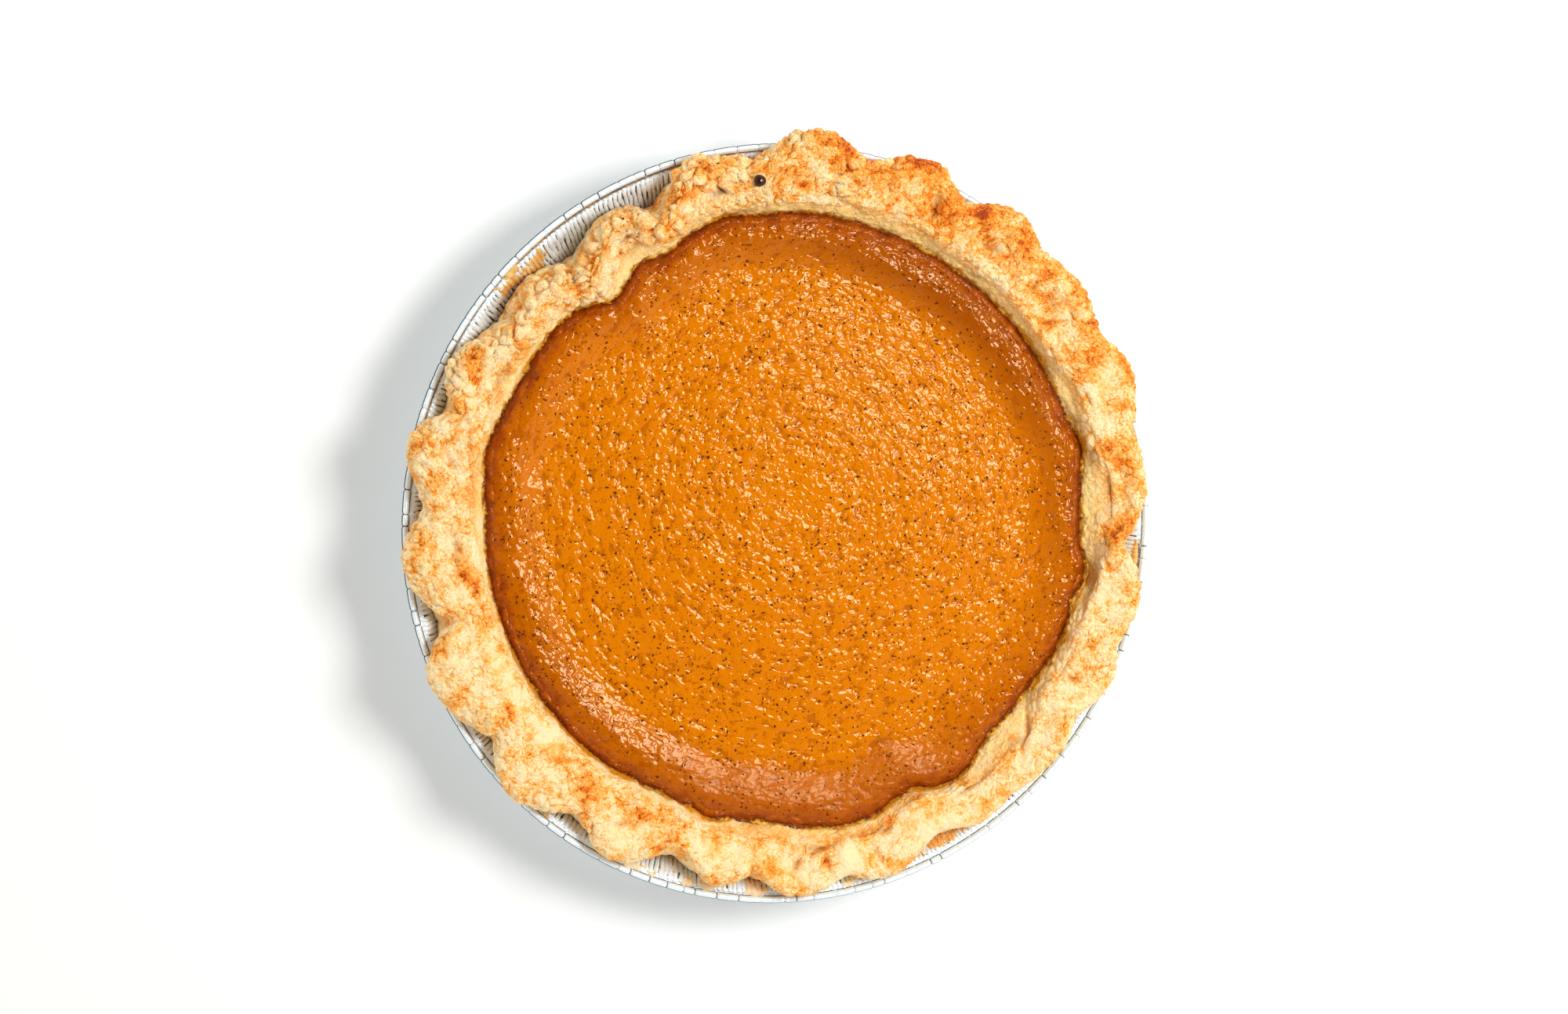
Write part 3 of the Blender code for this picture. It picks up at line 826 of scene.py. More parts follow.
pastry = Finish("pastry")
pastry_patches, pastry_grain = mottle(pastry, 5.5, 1.0)
baked_value = read_paint(pastry, "baked")
seam_value = read_paint(pastry, "seam")
wet_value = read_paint(pastry, "wet")
pebbly_value = read_paint(pastry, "pebbly")
place = pastry.add("ShaderNodeTexCoord", "place").outputs["Object"]
bend = pastry.add("ShaderNodeTexNoise", "bend", {"Vector": place, "Scale": 420.0, "Detail": 2.0}).outputs["Color"]
bend = pastry.add("ShaderNodeVectorMath", "bend size", {0: bend, "Scale": 0.0026}, operation="SCALE").outputs[0]
bent = pastry.add("ShaderNodeVectorMath", "bent place", {0: place, 1: bend}, operation="ADD").outputs[0]
border = pastry.add(
    "ShaderNodeTexVoronoi", "blisters", {"Vector": bent, "Scale": 600.0}, feature="DISTANCE_TO_EDGE"
).outputs["Distance"]
vein = between(pastry, border, 0.0, 0.14, 1.0, 0.0)
valley = between(pastry, seam_value, 0.0, 0.55, 1.0, 0.0)
winding = pastry.add(
    "ShaderNodeTexNoise", "winding cracks", {"Vector": place, "Scale": 400.0, "Detail": 2.0, "Distortion": 1.2}
).outputs["Fac"]
off_line = pastry.add("ShaderNodeMath", "off the line", {0: winding, 1: 0.5}, operation="SUBTRACT").outputs[0]
off_line = pastry.add("ShaderNodeMath", "either side", {0: off_line}, operation="ABSOLUTE").outputs[0]
squiggle = between(pastry, off_line, 0.0, 0.05, 1.0, 0.0)
lines = sum_of(pastry, times(pastry, vein, 0.22), times(pastry, valley, 0.32), times(pastry, squiggle, 0.36))
total_bake = sum_of(
    pastry,
    baked_value,
    times(pastry, lines, between(pastry, pebbly_value, 0.1, 0.7, 0.35, 1.0)),
    times(pastry, pastry_patches, 0.84),
    times(pastry, pastry_grain, 0.2),
    -0.87,
)
dry = graded(
    pastry,
    total_bake,
    (
        (0.0, PALE_DOUGH),
        (0.22, CREAM),
        (0.45, GOLD),
        (0.7, AMBER),
        (0.92, TAN),
        (1.0, DARK_BAKE),
    ),
)
# Painted shade on the outer flank.
with_flank_shade = mixed(pastry, times(pastry, read_paint(pastry, "flank"), 0.6), dry, SHADED_FLANK)
soaked = sum_of(pastry, times(pastry, pastry_patches, 0.6), times(pastry, pastry_grain, 0.4))
wet_dough = mixed(pastry, between(pastry, soaked, 0.2, 0.5), OLIVE_DOUGH, WET_DOUGH)
# Wet dough with painted light, over the flank's painted shade.
dough_with_painted_light_and_shade = mixed(pastry, times(pastry, wet_value, 0.85), with_flank_shade, wet_dough)
# Painted shade in the recesses and creases.
dough_with_painted_light_and_shade = mixed(pastry, times(pastry, read_paint(pastry, "crevice_shade"), 0.75), dough_with_painted_light_and_shade, CREVICE_SHADE)
seep_value = sum_of(pastry, read_paint(pastry, "seep"), times(pastry, pastry_patches, 0.6))
seeped = between(pastry, seep_value, 0.75, 1.15)
pastry.set(
    base_color=mixed(pastry, seeped, dough_with_painted_light_and_shade, SEEPED),
    roughness=between(pastry, sum_of(pastry, wet_value, times(pastry, pastry_grain, 0.2)), 0.0, 1.2, 0.5, 0.25),
    specular_ior_level=0.3,
    specular_tint=WARM_SHEEN,
    coat_weight=times(pastry, wet_value, 0.5),
    coat_roughness=0.15,
    subsurface_weight=0.3,
    subsurface_radius=(1.0, 0.42, 0.16),
    subsurface_scale=0.0016,
)
pastry_height = sum_of(
    pastry,
    times(pastry, between(pastry, border, 0.0, 0.5), between(pastry, pebbly_value, 0.1, 0.7, 0.25, 1.0)),
    times(pastry, pastry_grain, 0.3),
)
pastry.set(
    normal=pastry.add(
        "ShaderNodeBump", "flakes", {"Strength": 0.9, "Distance": 0.00035, "Height": pastry_height}
    ).outputs[0]
)
pastry.wear(crust)
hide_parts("crust")
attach(crust, "root")

# --- Filling ------------------------------------------------------------------------------------
# Pumpkin custard baked until it set: it puffed and darkened in a ring by the crust, sank to a
# shallow moat inside it, and its skin dried into fine wrinkles that still show how it was stirred.

FILLING_SECTIONS = 660
RING_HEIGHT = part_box("filling")[1].z / MM
FILLING_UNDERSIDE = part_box("filling")[0].z / MM
RING_INSET = 4.6
RING_INSET_SWING = 2.0
WIDEST_RING_BEARING = 215.0
FAR_CREST_SHIFT = 3.5
RING_WIDTH = 13.0
MOAT_HEIGHT = 26.9
CENTRE_HEIGHT = 27.8
TOP_ROWS = 138
SWIRL_CENTRE = (4.6, 11.0)


def filling_heights(inland, crest):
    """Height of the custard's skin at each distance inland from its edge, where the ring's crest is at crest."""
    up = FILLING_EDGE_HEIGHT + (RING_HEIGHT - 0.15 - FILLING_EDGE_HEIGHT) * np.sin(
        0.5 * np.pi * np.clip(inland / crest, 0.0, 1.0)
    ) ** 0.8
    down = blend(RING_HEIGHT - 0.15, MOAT_HEIGHT, eased((inland - crest) / RING_WIDTH))
    centre = blend(down, CENTRE_HEIGHT, eased((inland - crest - RING_WIDTH) / 40.0))
    return np.where(inland < crest, up, centre)


def custard_skin(bearings, inland):
    """Places on the custard's skin at each bearing and distance inland, with its swirl and wrinkles."""
    crest = RING_INSET + RING_INSET_SWING * swing(bearings, WIDEST_RING_BEARING)
    crest = crest + FAR_CREST_SHIFT * np.exp(-((apart(bearings, 46.0) / 40.0) ** 2))
    places = places_at(bearings, filling_edge(bearings) - inland, filling_heights(inland, crest))
    calm = np.clip(inland / 1.5, 0.2, 1.0)
    off_centre = places[..., :2] - np.array(SWIRL_CENTRE)
    off_radii = np.hypot(off_centre[..., 0], off_centre[..., 1])
    heading = off_centre / np.maximum(off_radii, 1e-6)[..., None]
    stirred = np.dstack([heading * (6.0 + 0.25 * off_radii)[..., None], off_radii])
    streaks = 0.34 * np.clip(off_radii / 12.0, 0.0, 1.0) * noise_at(stirred, 4.2, 24)
    wrinkles = 0.10 * noise_at(places, 4.5, 21) + 0.12 * noise_at(places, 1.8, 22)
    swell = 0.14 * noise_at(places, 14.0, 23)
    places[..., 2] = np.minimum(places[..., 2] + calm * (wrinkles + swell + streaks), RING_HEIGHT)
    return places


filling_bearings = np.arange(FILLING_SECTIONS) * 360.0 / FILLING_SECTIONS
edge = filling_edge(filling_bearings)
inland = edge * np.linspace(0.0, 1.0, TOP_ROWS + 1)[:-1, None]
top_radii = edge - inland
top_places = custard_skin(filling_bearings, inland)
middle_height = top_places[-1, :, 2].mean()
side_heights = (FILLING_UNDERSIDE, FILLING_UNDERSIDE + 1.0, 14.0, 22.0)
side_radii = (74.0, 77.6, 88.0, 0.0)
side = []
for radius, height in zip(side_radii, side_heights):
    at = edge - 1.2 if radius == 0.0 else np.minimum(radius, edge - 1.2)
    side.append(places_at(filling_bearings, at, height + 0.0 * edge))
filling = lathe("custard_filling", np.concatenate([np.array(side), top_places]), FILLING_UNDERSIDE, middle_height)
paint(filling, "inland", np.concatenate([np.zeros((len(side), FILLING_SECTIONS)), inland / 40.0]))

# The ring's inner slope down to the moat is darkened near bearing 52, where it faces away from the lamp: painted shade.
# Near bearing 215 the ring is also made a darker brown.
far_moat_shade = np.exp(-((apart(filling_bearings, 52.0) / 48.0) ** 2))
near_darker_ring = 0.4 * np.exp(-((apart(filling_bearings, 215.0) / 30.0) ** 2))
moat_shade_and_darker_ring = (far_moat_shade + near_darker_ring) * np.exp(-(((inland - 9.0) / (5.5 + 1.5 * far_moat_shade)) ** 2))
paint(filling, "moat_shade_and_darker_ring", np.concatenate([np.zeros((len(side), FILLING_SECTIONS)), 0.8 * moat_shade_and_darker_ring]))

lively = 0.74 + 0.2 * swing(filling_bearings, 50.0) * np.clip(top_radii / 55.0, 0.0, 1.0)
crest_glints = np.exp(-((apart(filling_bearings, 46.0) / 36.0) ** 4)) * np.exp(-(((inland - 5.0) / 3.5) ** 2))
lively = lively * (1.0 - 0.5 * moat_shade_and_darker_ring * eased((inland - 4.0) / 6.0)) + 0.4 * crest_glints
lively = np.maximum(lively, 0.8 * (inland < 14.0) * np.exp(-((apart(filling_bearings, 218.0) / 30.0) ** 2)))
paint(filling, "lively", np.concatenate([np.zeros((len(side), FILLING_SECTIONS)), lively]))

dull = np.exp(-((apart(filling_bearings, 277.0) / 38.0) ** 4)) * (1.0 - eased((inland - 12.0) / 10.0))
paint(filling, "dull", np.concatenate([np.zeros((len(side), FILLING_SECTIONS)), dull]))

SCORCHED = colour(136, 52, 2)
CARAMEL = colour(150, 62, 1)
RING_BROWN = colour(168, 76, 1)
RING_ORANGE = colour(190, 98, 1)
MOAT_ORANGE = colour(208, 112, 1)
SHADED_RING_BROWN = colour(144, 64, 1)
PUMPKIN = colour(217, 121, 1)
SPECK_BROWN = colour(150, 70, 4)
HOLLOW_SHADE_ORANGE = colour(158, 70, 1)

custard = Finish("custard")
custard_patches, custard_grain = mottle(custard, 4.5, 0.7)
inland_value = read_paint(custard, "inland")
wavering = sum_of(custard, inland_value, times(custard, custard_patches, 0.12), -0.06)
ground = graded(
    custard,
    wavering,
    (
        (0.0, SCORCHED),
        (0.03, CARAMEL),
        (0.065, RING_BROWN),
        (0.11, RING_ORANGE),
        (0.28, MOAT_ORANGE),
        (0.5, PUMPKIN),
    ),
)
# Painted shade on the far moat, and the darker brown near bearing 215, are mixed in here.
ground = mixed(custard, read_paint(custard, "moat_shade_and_darker_ring"), ground, SHADED_RING_BROWN)
dull_value = read_paint(custard, "dull")
ground = mixed(custard, times(custard, dull_value, 0.45), ground, RING_BROWN)
dusting = between(custard, custard_grain, 0.62, 0.95, 0.0, 0.6)
place = custard.add("ShaderNodeTexCoord", "place").outputs["Object"]
from_swirl = custard.add(
    "ShaderNodeVectorMath",
    "from the swirl's centre",
    {0: place, 1: (SWIRL_CENTRE[0] * MM, SWIRL_CENTRE[1] * MM, 0.0)},
    operation="SUBTRACT",
).outputs[0]
flat = custard.add("ShaderNodeVectorMath", "level", {0: from_swirl, 1: (1.0, 1.0, 0.0)}, operation="MULTIPLY").outputs[0]
heading = custard.add("ShaderNodeVectorMath", "heading", {0: flat}, operation="NORMALIZE").outputs[0]
distance = custard.add("ShaderNodeVectorMath", "distance", {0: flat}, operation="LENGTH").outputs["Value"]
around = sum_of(custard, times(custard, distance, 0.45), 0.006)
round_part = custard.add(
    "ShaderNodeVectorMath", "round", {0: heading, "Scale": around}, operation="SCALE"
).outputs[0]
outward = custard.add("ShaderNodeCombineXYZ", "outward", {2: distance}).outputs[0]
swirled = custard.add("ShaderNodeVectorMath", "swirled place", {0: round_part, 1: outward}, operation="ADD").outputs[0]
streaks = custard.add(
    "ShaderNodeTexNoise", "stirred streaks", {"Vector": swirled, "Scale": 550.0, "Detail": 0.2, "Distortion": 0.5}
).outputs["Fac"]
curls = custard.add(
    "ShaderNodeTexNoise", "curled skin", {"Vector": place, "Scale": 600.0, "Detail": 0.2, "Distortion": 0.8}
).outputs["Fac"]
far_from_swirl = between(custard, distance, 0.004, 0.016)
lengthwise = times(custard, times(custard, sum_of(custard, streaks, -0.5), 1.35), far_from_swirl)
skin = sum_of(custard, lengthwise, times(custard, curls, 0.7), 0.15)
# Painted shade: the skin's low spots between the wrinkles are darkened to a deep orange.
painted_shade_hollows = between(custard, skin, 0.2, 0.4, 0.5, 0.0)
custard.set(
    base_color=mixed(custard, painted_shade_hollows, mixed(custard, dusting, ground, SPECK_BROWN), HOLLOW_SHADE_ORANGE),
    roughness=between(custard, dull_value, 0.0, 1.0, 0.08, 0.3),
    specular_ior_level=0.36,
    specular_tint=WARM_SHEEN,
    subsurface_weight=0.2,
    subsurface_radius=(1.0, 0.35, 0.08),
    subsurface_scale=0.002,
    normal=custard.add(
        "ShaderNodeBump", "wrinkles", {"Strength": read_paint(custard, "lively"), "Distance": 0.00048, "Height": skin}
    ).outputs[0],
)
custard.wear(filling)
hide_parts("filling")
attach(filling, "root")

# --- Custard's baked-on edge --------------------------------------------------------------------
# Thin skin of custard and egg that crept up the crust, bubbled and caramelised to a dark, glossy
# brown line, with golden egg dried along its outside.

EDGE_SECTIONS = 2400
EDGE_SPAN = (3.0, -1.1)  # distance inland where the edge begins and ends
EDGE_ROWS = 17
CREEP = 0.9  # how high it climbs the crust per millimetre
BUBBLE = 1.3


def hoop(name, places):
    """Ring-shaped piece over rows of points that each go right round the axis, closed both ways."""
    rows, count = places.shape[:2]
    here = np.arange(count)
    there = np.roll(here, -1)
    low = (np.arange(rows) * count)[:, None]
    high = (np.roll(np.arange(rows), -1) * count)[:, None]
    faces = np.stack([low + here, high + here, high + there, low + there], -1).reshape(-1, 4)
    mesh = bpy.data.meshes.new(name)
    mesh.from_pydata((places.reshape(-1, 3) * MM).tolist(), [], faces.tolist())
    mesh.shade_smooth()
    piece = bpy.data.objects.new(name, mesh)
    bpy.context.scene.collection.objects.link(piece)
    return piece


edge_bearings = np.arange(EDGE_SECTIONS) * 360.0 / EDGE_SECTIONS
depths = np.linspace(*EDGE_SPAN, EDGE_ROWS)[:, None] + 0.0 * edge_bearings
rim_line = places_at(edge_bearings, 88.0, 0.0)
wander = 0.7 * noise_at(rim_line, 5.0, 31) + 0.8 * noise_at(rim_line, 1.8, 37)
depths = depths + wander * (depths < 1.5)
crust_side = custard_skin(edge_bearings, depths)
crust_side[..., 2] += CREEP * np.maximum(-depths, 0.0)
bubbles = np.sqrt(np.clip(blisters(crust_side, BUBBLE, 32) / 0.55, 0.0, 1.0))
rough = bubbles * np.clip(0.5 + 1.2 * noise_at(crust_side, 3.0, 36), 0.1, 1.0)
apron = np.clip((EDGE_SPAN[0] - depths) / 1.6, 0.0, 1.0) * np.clip((depths - EDGE_SPAN[1]) / 0.5, 0.0, 1.0)
crust_side[..., 2] += apron * (0.1 + 0.6 * rough) - 0.3 * (1.0 - apron)
hidden_side = [custard_skin(edge_bearings, 0.0 * edge_bearings[None, :] + d) for d in (-0.4, 0.8, 2.2)]
hidden_side = np.concatenate(hidden_side) - (0.0, 0.0, 1.2)
caramel_edge = hoop("baked_on_edge", np.concatenate([crust_side, hidden_side]))


def paint_hoop(piece, name, values):
    """Stores a value at each shown point of the ring for its material, and 0 at its hidden points."""
    full = np.zeros(len(piece.data.vertices), np.float32)
    full[: values.size] = values.ravel()
    piece.data.attributes.new(name, "FLOAT", "POINT").data.foreach_set("value", full)


paint_hoop(caramel_edge, "across", (EDGE_SPAN[0] - depths) / (EDGE_SPAN[0] - EDGE_SPAN[1]))
paint_hoop(caramel_edge, "bubbly", rough)

BURNT_SUGAR = colour(96, 34, 4)
CARAMEL_BROWN = colour(150, 62, 1)
GOLDEN_EGG = colour(206, 136, 18)
PALE_EGG = colour(238, 190, 84)

caramel = Finish("caramel")
caramel_patches, caramel_grain = mottle(caramel, 5.0, 1.3)
across = sum_of(
    caramel,
    read_paint(caramel, "across"),
    times(caramel, caramel_patches, 0.55),
    times(caramel, caramel_grain, 0.3),
    -0.45,
)
caramel_colour = graded(
    caramel,
    across,
    (
        (0.0, RING_ORANGE),
        (0.25, RING_BROWN),
        (0.5, CARAMEL_BROWN),
        (0.68, BURNT_SUGAR),
        (0.84, GOLDEN_EGG),
        (1.0, PALE_EGG),
    ),
)
pits = between(caramel, read_paint(caramel, "bubbly"), 0.0, 0.35, 0.5, 0.0)
caramel.set(
    base_color=mixed(caramel, pits, caramel_colour, BURNT_SUGAR),
    roughness=between(caramel, caramel_grain, 0.0, 1.0, 0.12, 0.3),
    specular_ior_level=0.35,
    specular_tint=WARM_SHEEN,
    normal=caramel.add(
        "ShaderNodeBump", "crazing", {"Strength": 0.8, "Distance": 0.0002, "Height": caramel_grain}
    ).outputs[0],
)
caramel.wear(caramel_edge)
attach(caramel_edge, "root")

# --- Spice flecks -------------------------------------------------------------------------------
# Coarse grains of ground clove and cinnamon that rose to the custard's skin and lie baked into it.

FLECK_COUNT = 5200
FLECK_SIZE = (0.2, 0.52)
FLECK_CORNERS = np.array([(1, 0, 0), (0, 1, 0), (-1, 0, 0), (0, -1, 0), (0, 0, 0.6), (0, 0, -0.6)])
FLECK_FACES = ((0, 1, 4), (1, 2, 4), (2, 3, 4), (3, 0, 4), (1, 0, 5), (2, 1, 5), (3, 2, 5), (0, 3, 5))


def scatter(name, centres, sizes, random):
    """One mesh of small uneven grains, each turned and stretched its own way."""
    corners, faces = [], []
    for centre, size in zip(centres, sizes):
        turn = random.uniform(0.0, 2.0 * math.pi)
        shape = FLECK_CORNERS * (random.uniform(0.8, 1.7), random.uniform(0.5, 1.0), 0.5) * size
        shape = shape + random.uniform(-0.15, 0.15, shape.shape) * size
        spun = np.array([[math.cos(turn), math.sin(turn), 0], [-math.sin(turn), math.cos(turn), 0], [0, 0, 1]])
        faces += [tuple(len(corners) + n for n in face) for face in FLECK_FACES]
        corners += (centre + shape @ spun).tolist()
    mesh = bpy.data.meshes.new(name)
    mesh.from_pydata((np.array(corners) * MM).tolist(), [], faces)
    piece = bpy.data.objects.new(name, mesh)
    bpy.context.scene.collection.objects.link(piece)
    return piece


fleck_random = np.random.default_rng(7)
picked_row = (TOP_ROWS * (1.0 - np.sqrt(fleck_random.uniform(0.0, 0.985, FLECK_COUNT)))).astype(int)
picked_column = fleck_random.integers(0, FILLING_SECTIONS, FLECK_COUNT)
fleck_sizes = FLECK_SIZE[0] + (FLECK_SIZE[1] - FLECK_SIZE[0]) * fleck_random.uniform(0.0, 1.0, FLECK_COUNT) ** 2
flecks = scatter("spice_flecks", top_places[picked_row, picked_column], fleck_sizes, fleck_random)
spice = Finish("spice")
spice_patches, spice_grain = mottle(spice, 3.0, 0.3)
spice.set(
    base_color=mixed(spice, spice_patches, colour(70, 32, 2), colour(120, 58, 4)),
    roughness=0.9,
    specular_ior_level=0.1,
    normal=spice.add("ShaderNodeBump", "grit", {"Distance": 0.0001, "Height": spice_grain}).outputs[0],
)
spice.wear(flecks)
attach(flecks, "root")

# --- Egg wash and custard on the tin ------------------------------------------------------------
# Thin films that ran over the rim before baking: egg wash dried to a dull yellow, and custard that
# spilled at one side and baked to a glossy orange glaze. Each lies on the foil's ledge and wall.

FILM_ROWS = 18
FILM_COLUMNS = 72
FILM_DIP = 0.08
FILM_ROOT = 0.15
BEAD_FOOT = LEDGE[1] + 0.35
EGG_WASH = (  # bearing, radius, half-length, half-width and thickness of each patch
    (138.6, 107.2, 6.4, 2.4, 0.45),
    (133.4, 104.4, 3.6, 3.2, 0.45),
    (230.2, 108.3, 1.8, 0.6, 0.3),
    (354.8, 107.4, 4.6, 0.8, 0.35),
)
# Thinner, paler patches along the lower side, where the crust's lip shades the ledge; their colours are also lightened
# there as painted light.
THIN_WASH_PAINTED_LIGHT = (
    (247.0, 107.8, 5.5, 1.3, 0.3),
    (257.5, 107.6, 6.5, 1.4, 0.3),
    (266.2, 106.3, 3.4, 2.4, 0.42),
    (277.6, 106.3, 2.6, 1.7, 0.4),
    (282.0, 107.6, 3.6, 1.1, 0.35),
)
SPILLED = (
    (292.3, 105.0, 4.2, 2.3, 0.5),
    (297.6, 104.2, 5.4, 2.8, 0.5),
    (303.2, 105.5, 5.2, 1.6, 0.5),
)


foil_faces = BVHTree.FromPolygons(
    [corner.co for corner in tin.data.vertices], [tuple(face.vertices) for face in tin.data.polygons]
)


def foil_heights(places):
    """Height of the crimped foil below each place, and no higher than the foot of the bead."""
    heights = np.full(places.shape[:2], BEAD_FOOT)
    for at in np.ndindex(heights.shape):
        across, along, above = places[at] * MM
        foil_point = foil_faces.ray_cast((across, along, above), (0.0, 0.0, -1.0))[0]
        if foil_point:
            heights[at] = min(foil_point.z / MM, BEAD_FOOT)
    return heights


def films(name, table, seed):
    """One mesh of thin patches with wandering outlines that dip into the foil where they end."""
    corners, faces = [], []
    for number, (bearing, radius, length, width, thickness) in enumerate(table):
        along, across = np.meshgrid(np.linspace(-1.5, 1.5, FILM_COLUMNS), np.linspace(-1.5, 1.5, FILM_ROWS))
        radii = radius + across * width
        turns = bearing + np.degrees(along * length / radius)
        base = places_at(turns, radii, RIM_HEIGHT + 1.0 + 0.0 * radii)
        base[..., 2] = foil_heights(base)
        inside = 0.8 - along**2 - across**2 + 1.7 * noise_at(base, 2.6, seed) + 0.8 * noise_at(base, 0.9, seed + 1)
        rise = np.where(inside > 0.0, thickness * np.sqrt(np.clip(inside * 3.0, 0.0, 1.0)), -FILM_DIP)
        top = base + (0.0, 0.0, 1.0) * rise[..., None]
        start = len(corners)
        corners += top.reshape(-1, 3).tolist() + (base - (0.0, 0.0, FILM_ROOT)).reshape(-1, 3).tolist()
        index = start + np.arange(FILM_ROWS * FILM_COLUMNS).reshape(FILM_ROWS, FILM_COLUMNS)
        below = index + FILM_ROWS * FILM_COLUMNS
        quads = [index[:-1, :-1], index[1:, :-1], index[1:, 1:], index[:-1, 1:]]
        faces += np.stack(quads, -1).reshape(-1, 4).tolist()
        faces += (np.stack(quads[::-1], -1).reshape(-1, 4) + FILM_ROWS * FILM_COLUMNS).tolist()
        border = np.concatenate([index[0, :-1], index[:-1, -1], index[-1, :0:-1], index[:0:-1, 0]])
        lower = np.concatenate([below[0, :-1], below[:-1, -1], below[-1, :0:-1], below[:0:-1, 0]])
        faces += np.stack([border, np.roll(border, -1), np.roll(lower, -1), lower], -1).tolist()
    mesh = bpy.data.meshes.new(name)
    mesh.from_pydata((np.array(corners) * MM).tolist(), [], faces)
    mesh.shade_smooth()
    piece = bpy.data.objects.new(name, mesh)
    bpy.context.scene.collection.objects.link(piece)
    return piece


def glazed(name, patch_size, light, dark, gloss, ripple=0.0002):
    """Material of a dried film: two shades in patches, with a faintly rippled face."""
    finish = Finish(name)
    patches, grain = mottle(finish, patch_size, 0.6)
    finish.set(
        base_color=mixed(finish, patches, dark, light),
        roughness=gloss,
        specular_tint=WARM_SHEEN,
        normal=finish.add("ShaderNodeBump", "ripples", {"Distance": ripple, "Height": grain}).outputs[0],
    )
    return finish


egg_wash = films("dried_egg_wash", EGG_WASH, 41)
glazed("egg wash", 2.6, colour(246, 208, 134), colour(216, 158, 70), 0.35).wear(egg_wash)
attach(egg_wash, "root")
# Painted light: these patches are given lighter colours to offset the crust's shadow over them.
thin_wash_painted_light = films("thin_egg_wash_painted_light", THIN_WASH_PAINTED_LIGHT, 47)
glazed("thin egg wash painted light", 1.6, colour(255, 244, 214), colour(250, 206, 140), 0.3).wear(thin_wash_painted_light)
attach(thin_wash_painted_light, "root")
spill = films("spilled_custard", SPILLED, 44)
glazed("spilled custard", 2.0, colour(255, 216, 146), colour(255, 164, 52), 0.08, 0.0004).wear(spill)
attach(spill, "root")

# --- Syrup drops --------------------------------------------------------------------------------
# One bead of dark syrup stands on a flute where it boiled out, with a small amber drop beside it.

SYRUP_BEAD = (95.7, 100.4, 1.75)  # bearing, radius and half-width
AMBER_DROP = (103.3, 105.5, 0.7)
DROP_ROWS = 14
DROP_SECTIONS = 40
DROP_HEIGHT = 0.62  # share of its half-width


def drop(name, bearing, radius, half_width):
    """A drop with a rounded top, standing on the crust."""
    upper = slice(first_shown + SHOWN_ROWS // 4, first_shown + SHOWN_ROWS)
    away = np.hypot(*(crust_places[upper][..., :2] - places_at(bearing, radius, 0.0)[:2]).transpose(2, 0, 1))
    foot = crust_places[upper].reshape(-1, 3)[away.argmin()] + (0.0, 0.0, 0.45 * half_width)
    tilt = np.linspace(-0.4 * math.pi, 0.495 * math.pi, DROP_ROWS)[:, None]
    around = np.arange(DROP_SECTIONS) * 360.0 / DROP_SECTIONS
    lumpy = 1.0 + 0.07 * np.cos(np.radians(around - 40.0)) + 0.05 * np.cos(np.radians(3.0 * around))
    places = places_at(around, half_width * np.cos(tilt) * lumpy, half_width * DROP_HEIGHT * np.sin(tilt))
    piece = lathe(name, places, places[0, 0, 2], half_width * DROP_HEIGHT)
    piece.data.transform(Matrix.Translation(Vector((foot * MM).tolist())))
    return piece


syrup = drop("syrup_bead", *SYRUP_BEAD)
glazed("syrup", 1.0, colour(58, 12, 8), colour(24, 3, 2), 0.12, 0.00003).wear(syrup)
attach(syrup, "root")
amber_drop = drop("amber_drop", *AMBER_DROP)
glazed("amber drop", 0.6, colour(226, 112, 30), colour(196, 78, 14), 0.1).wear(amber_drop)
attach(amber_drop, "root")

# --- Table, light and camera --------------------------------------------------------------------
# The pie stands on a plain pale table under one large soft lamp, with pale light from all round.

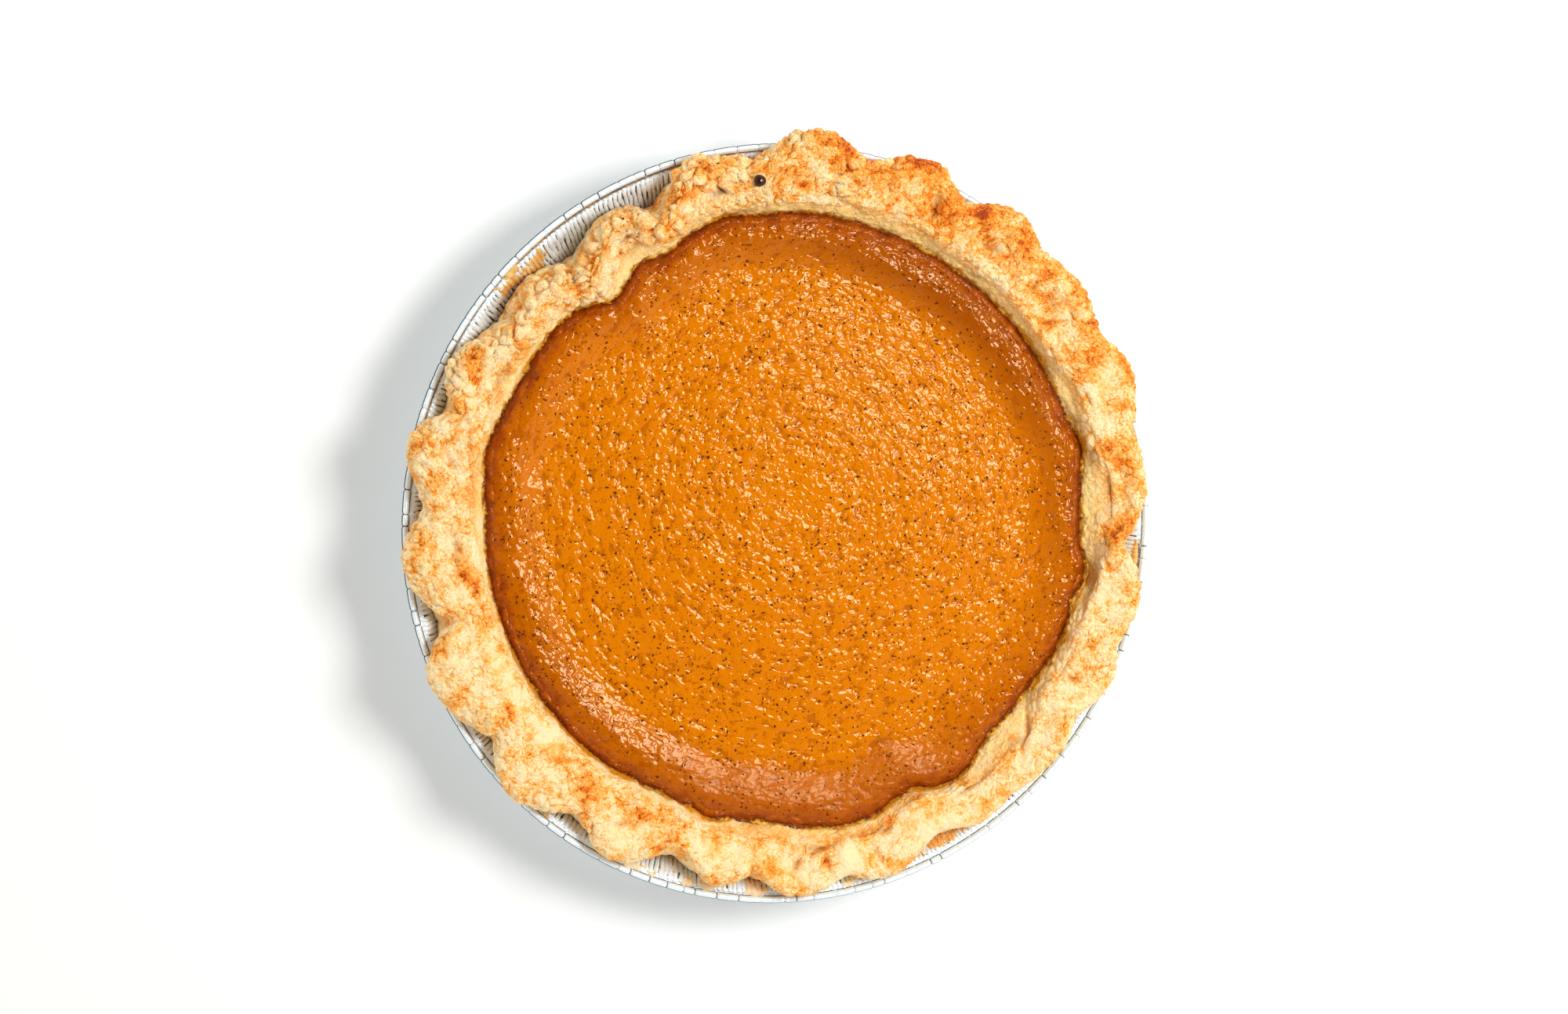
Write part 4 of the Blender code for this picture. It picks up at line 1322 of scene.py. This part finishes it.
TABLE_COLOUR = colour(252, 252, 250)
TABLE_GAP = 0.0001
bpy.ops.mesh.primitive_plane_add(size=6.0, location=(0.0, 0.0, cad_low.z - TABLE_GAP))
table = bpy.context.object
table.name = "table"
matt = Finish("table")
table_patches, table_grain = mottle(matt, 60.0, 2.0)
matt.set(base_color=mixed(matt, times(matt, table_patches, 0.04), TABLE_COLOUR, colour(225, 224, 220)), roughness=0.8)
matt.wear(table)


def lamp(name, bearing, elevation, distance, width, power):
    """Soft square lamp that shines on the pie from the given direction."""
    data = bpy.data.lights.new(name, "AREA")
    data.shape = "SQUARE"
    data.size = width
    data.energy = power
    made = bpy.data.objects.new(name, data)
    bpy.context.scene.collection.objects.link(made)
    turn, rise = math.radians(bearing), math.radians(elevation)
    towards = Vector((math.cos(turn) * math.cos(rise), math.sin(turn) * math.cos(rise), math.sin(rise)))
    made.location = towards * distance
    made.rotation_euler = towards.to_track_quat("Z", "Y").to_euler()


lamp("key", 26.0, 64.0, 0.8, 0.26, 4.1)
world = bpy.data.worlds.new("studio")
world.use_nodes = True
sky = world.node_tree
direction = add_node(sky, "ShaderNodeTexCoord", "direction").outputs["Generated"]
upwards = add_node(sky, "ShaderNodeSeparateXYZ", "upwards", {0: direction}).outputs["Z"]
darker = {"Value": upwards, "From Min": 0.62, "From Max": 0.95, "To Min": 1.1, "To Max": 0.04}
strength = add_node(sky, "ShaderNodeMapRange", "dim above the camera", darker).outputs[0]
sky.links.new(strength, sky.nodes["Background"].inputs["Strength"])
sky.nodes["Background"].inputs["Color"].default_value = (1.0, 0.99, 0.97, 1.0)
bpy.context.scene.world = world
bpy.context.scene.view_settings.view_transform = "Standard"

CAMERA_DISTANCE = 1.0
CAMERA_LEAN = math.radians(12.61)
CAMERA_LEAN_BEARING = math.radians(158.5)
camera_data = bpy.data.cameras.new("camera")
camera_data.lens = 78.92
camera_data.sensor_width = 36.0
camera_data.shift_y = 0.0125
camera = bpy.data.objects.new("camera", camera_data)
bpy.context.scene.collection.objects.link(camera)
lean_axis = Vector((-math.sin(CAMERA_LEAN_BEARING), math.cos(CAMERA_LEAN_BEARING), 0.0))
turned = Matrix.Rotation(CAMERA_LEAN, 4, lean_axis)
aim = Vector((0.0, 0.0, RIM_HEIGHT * MM))
camera.matrix_world = Matrix.Translation(aim) @ turned @ Matrix.Translation((0.0, 0.0, CAMERA_DISTANCE))
bpy.context.scene.camera = camera
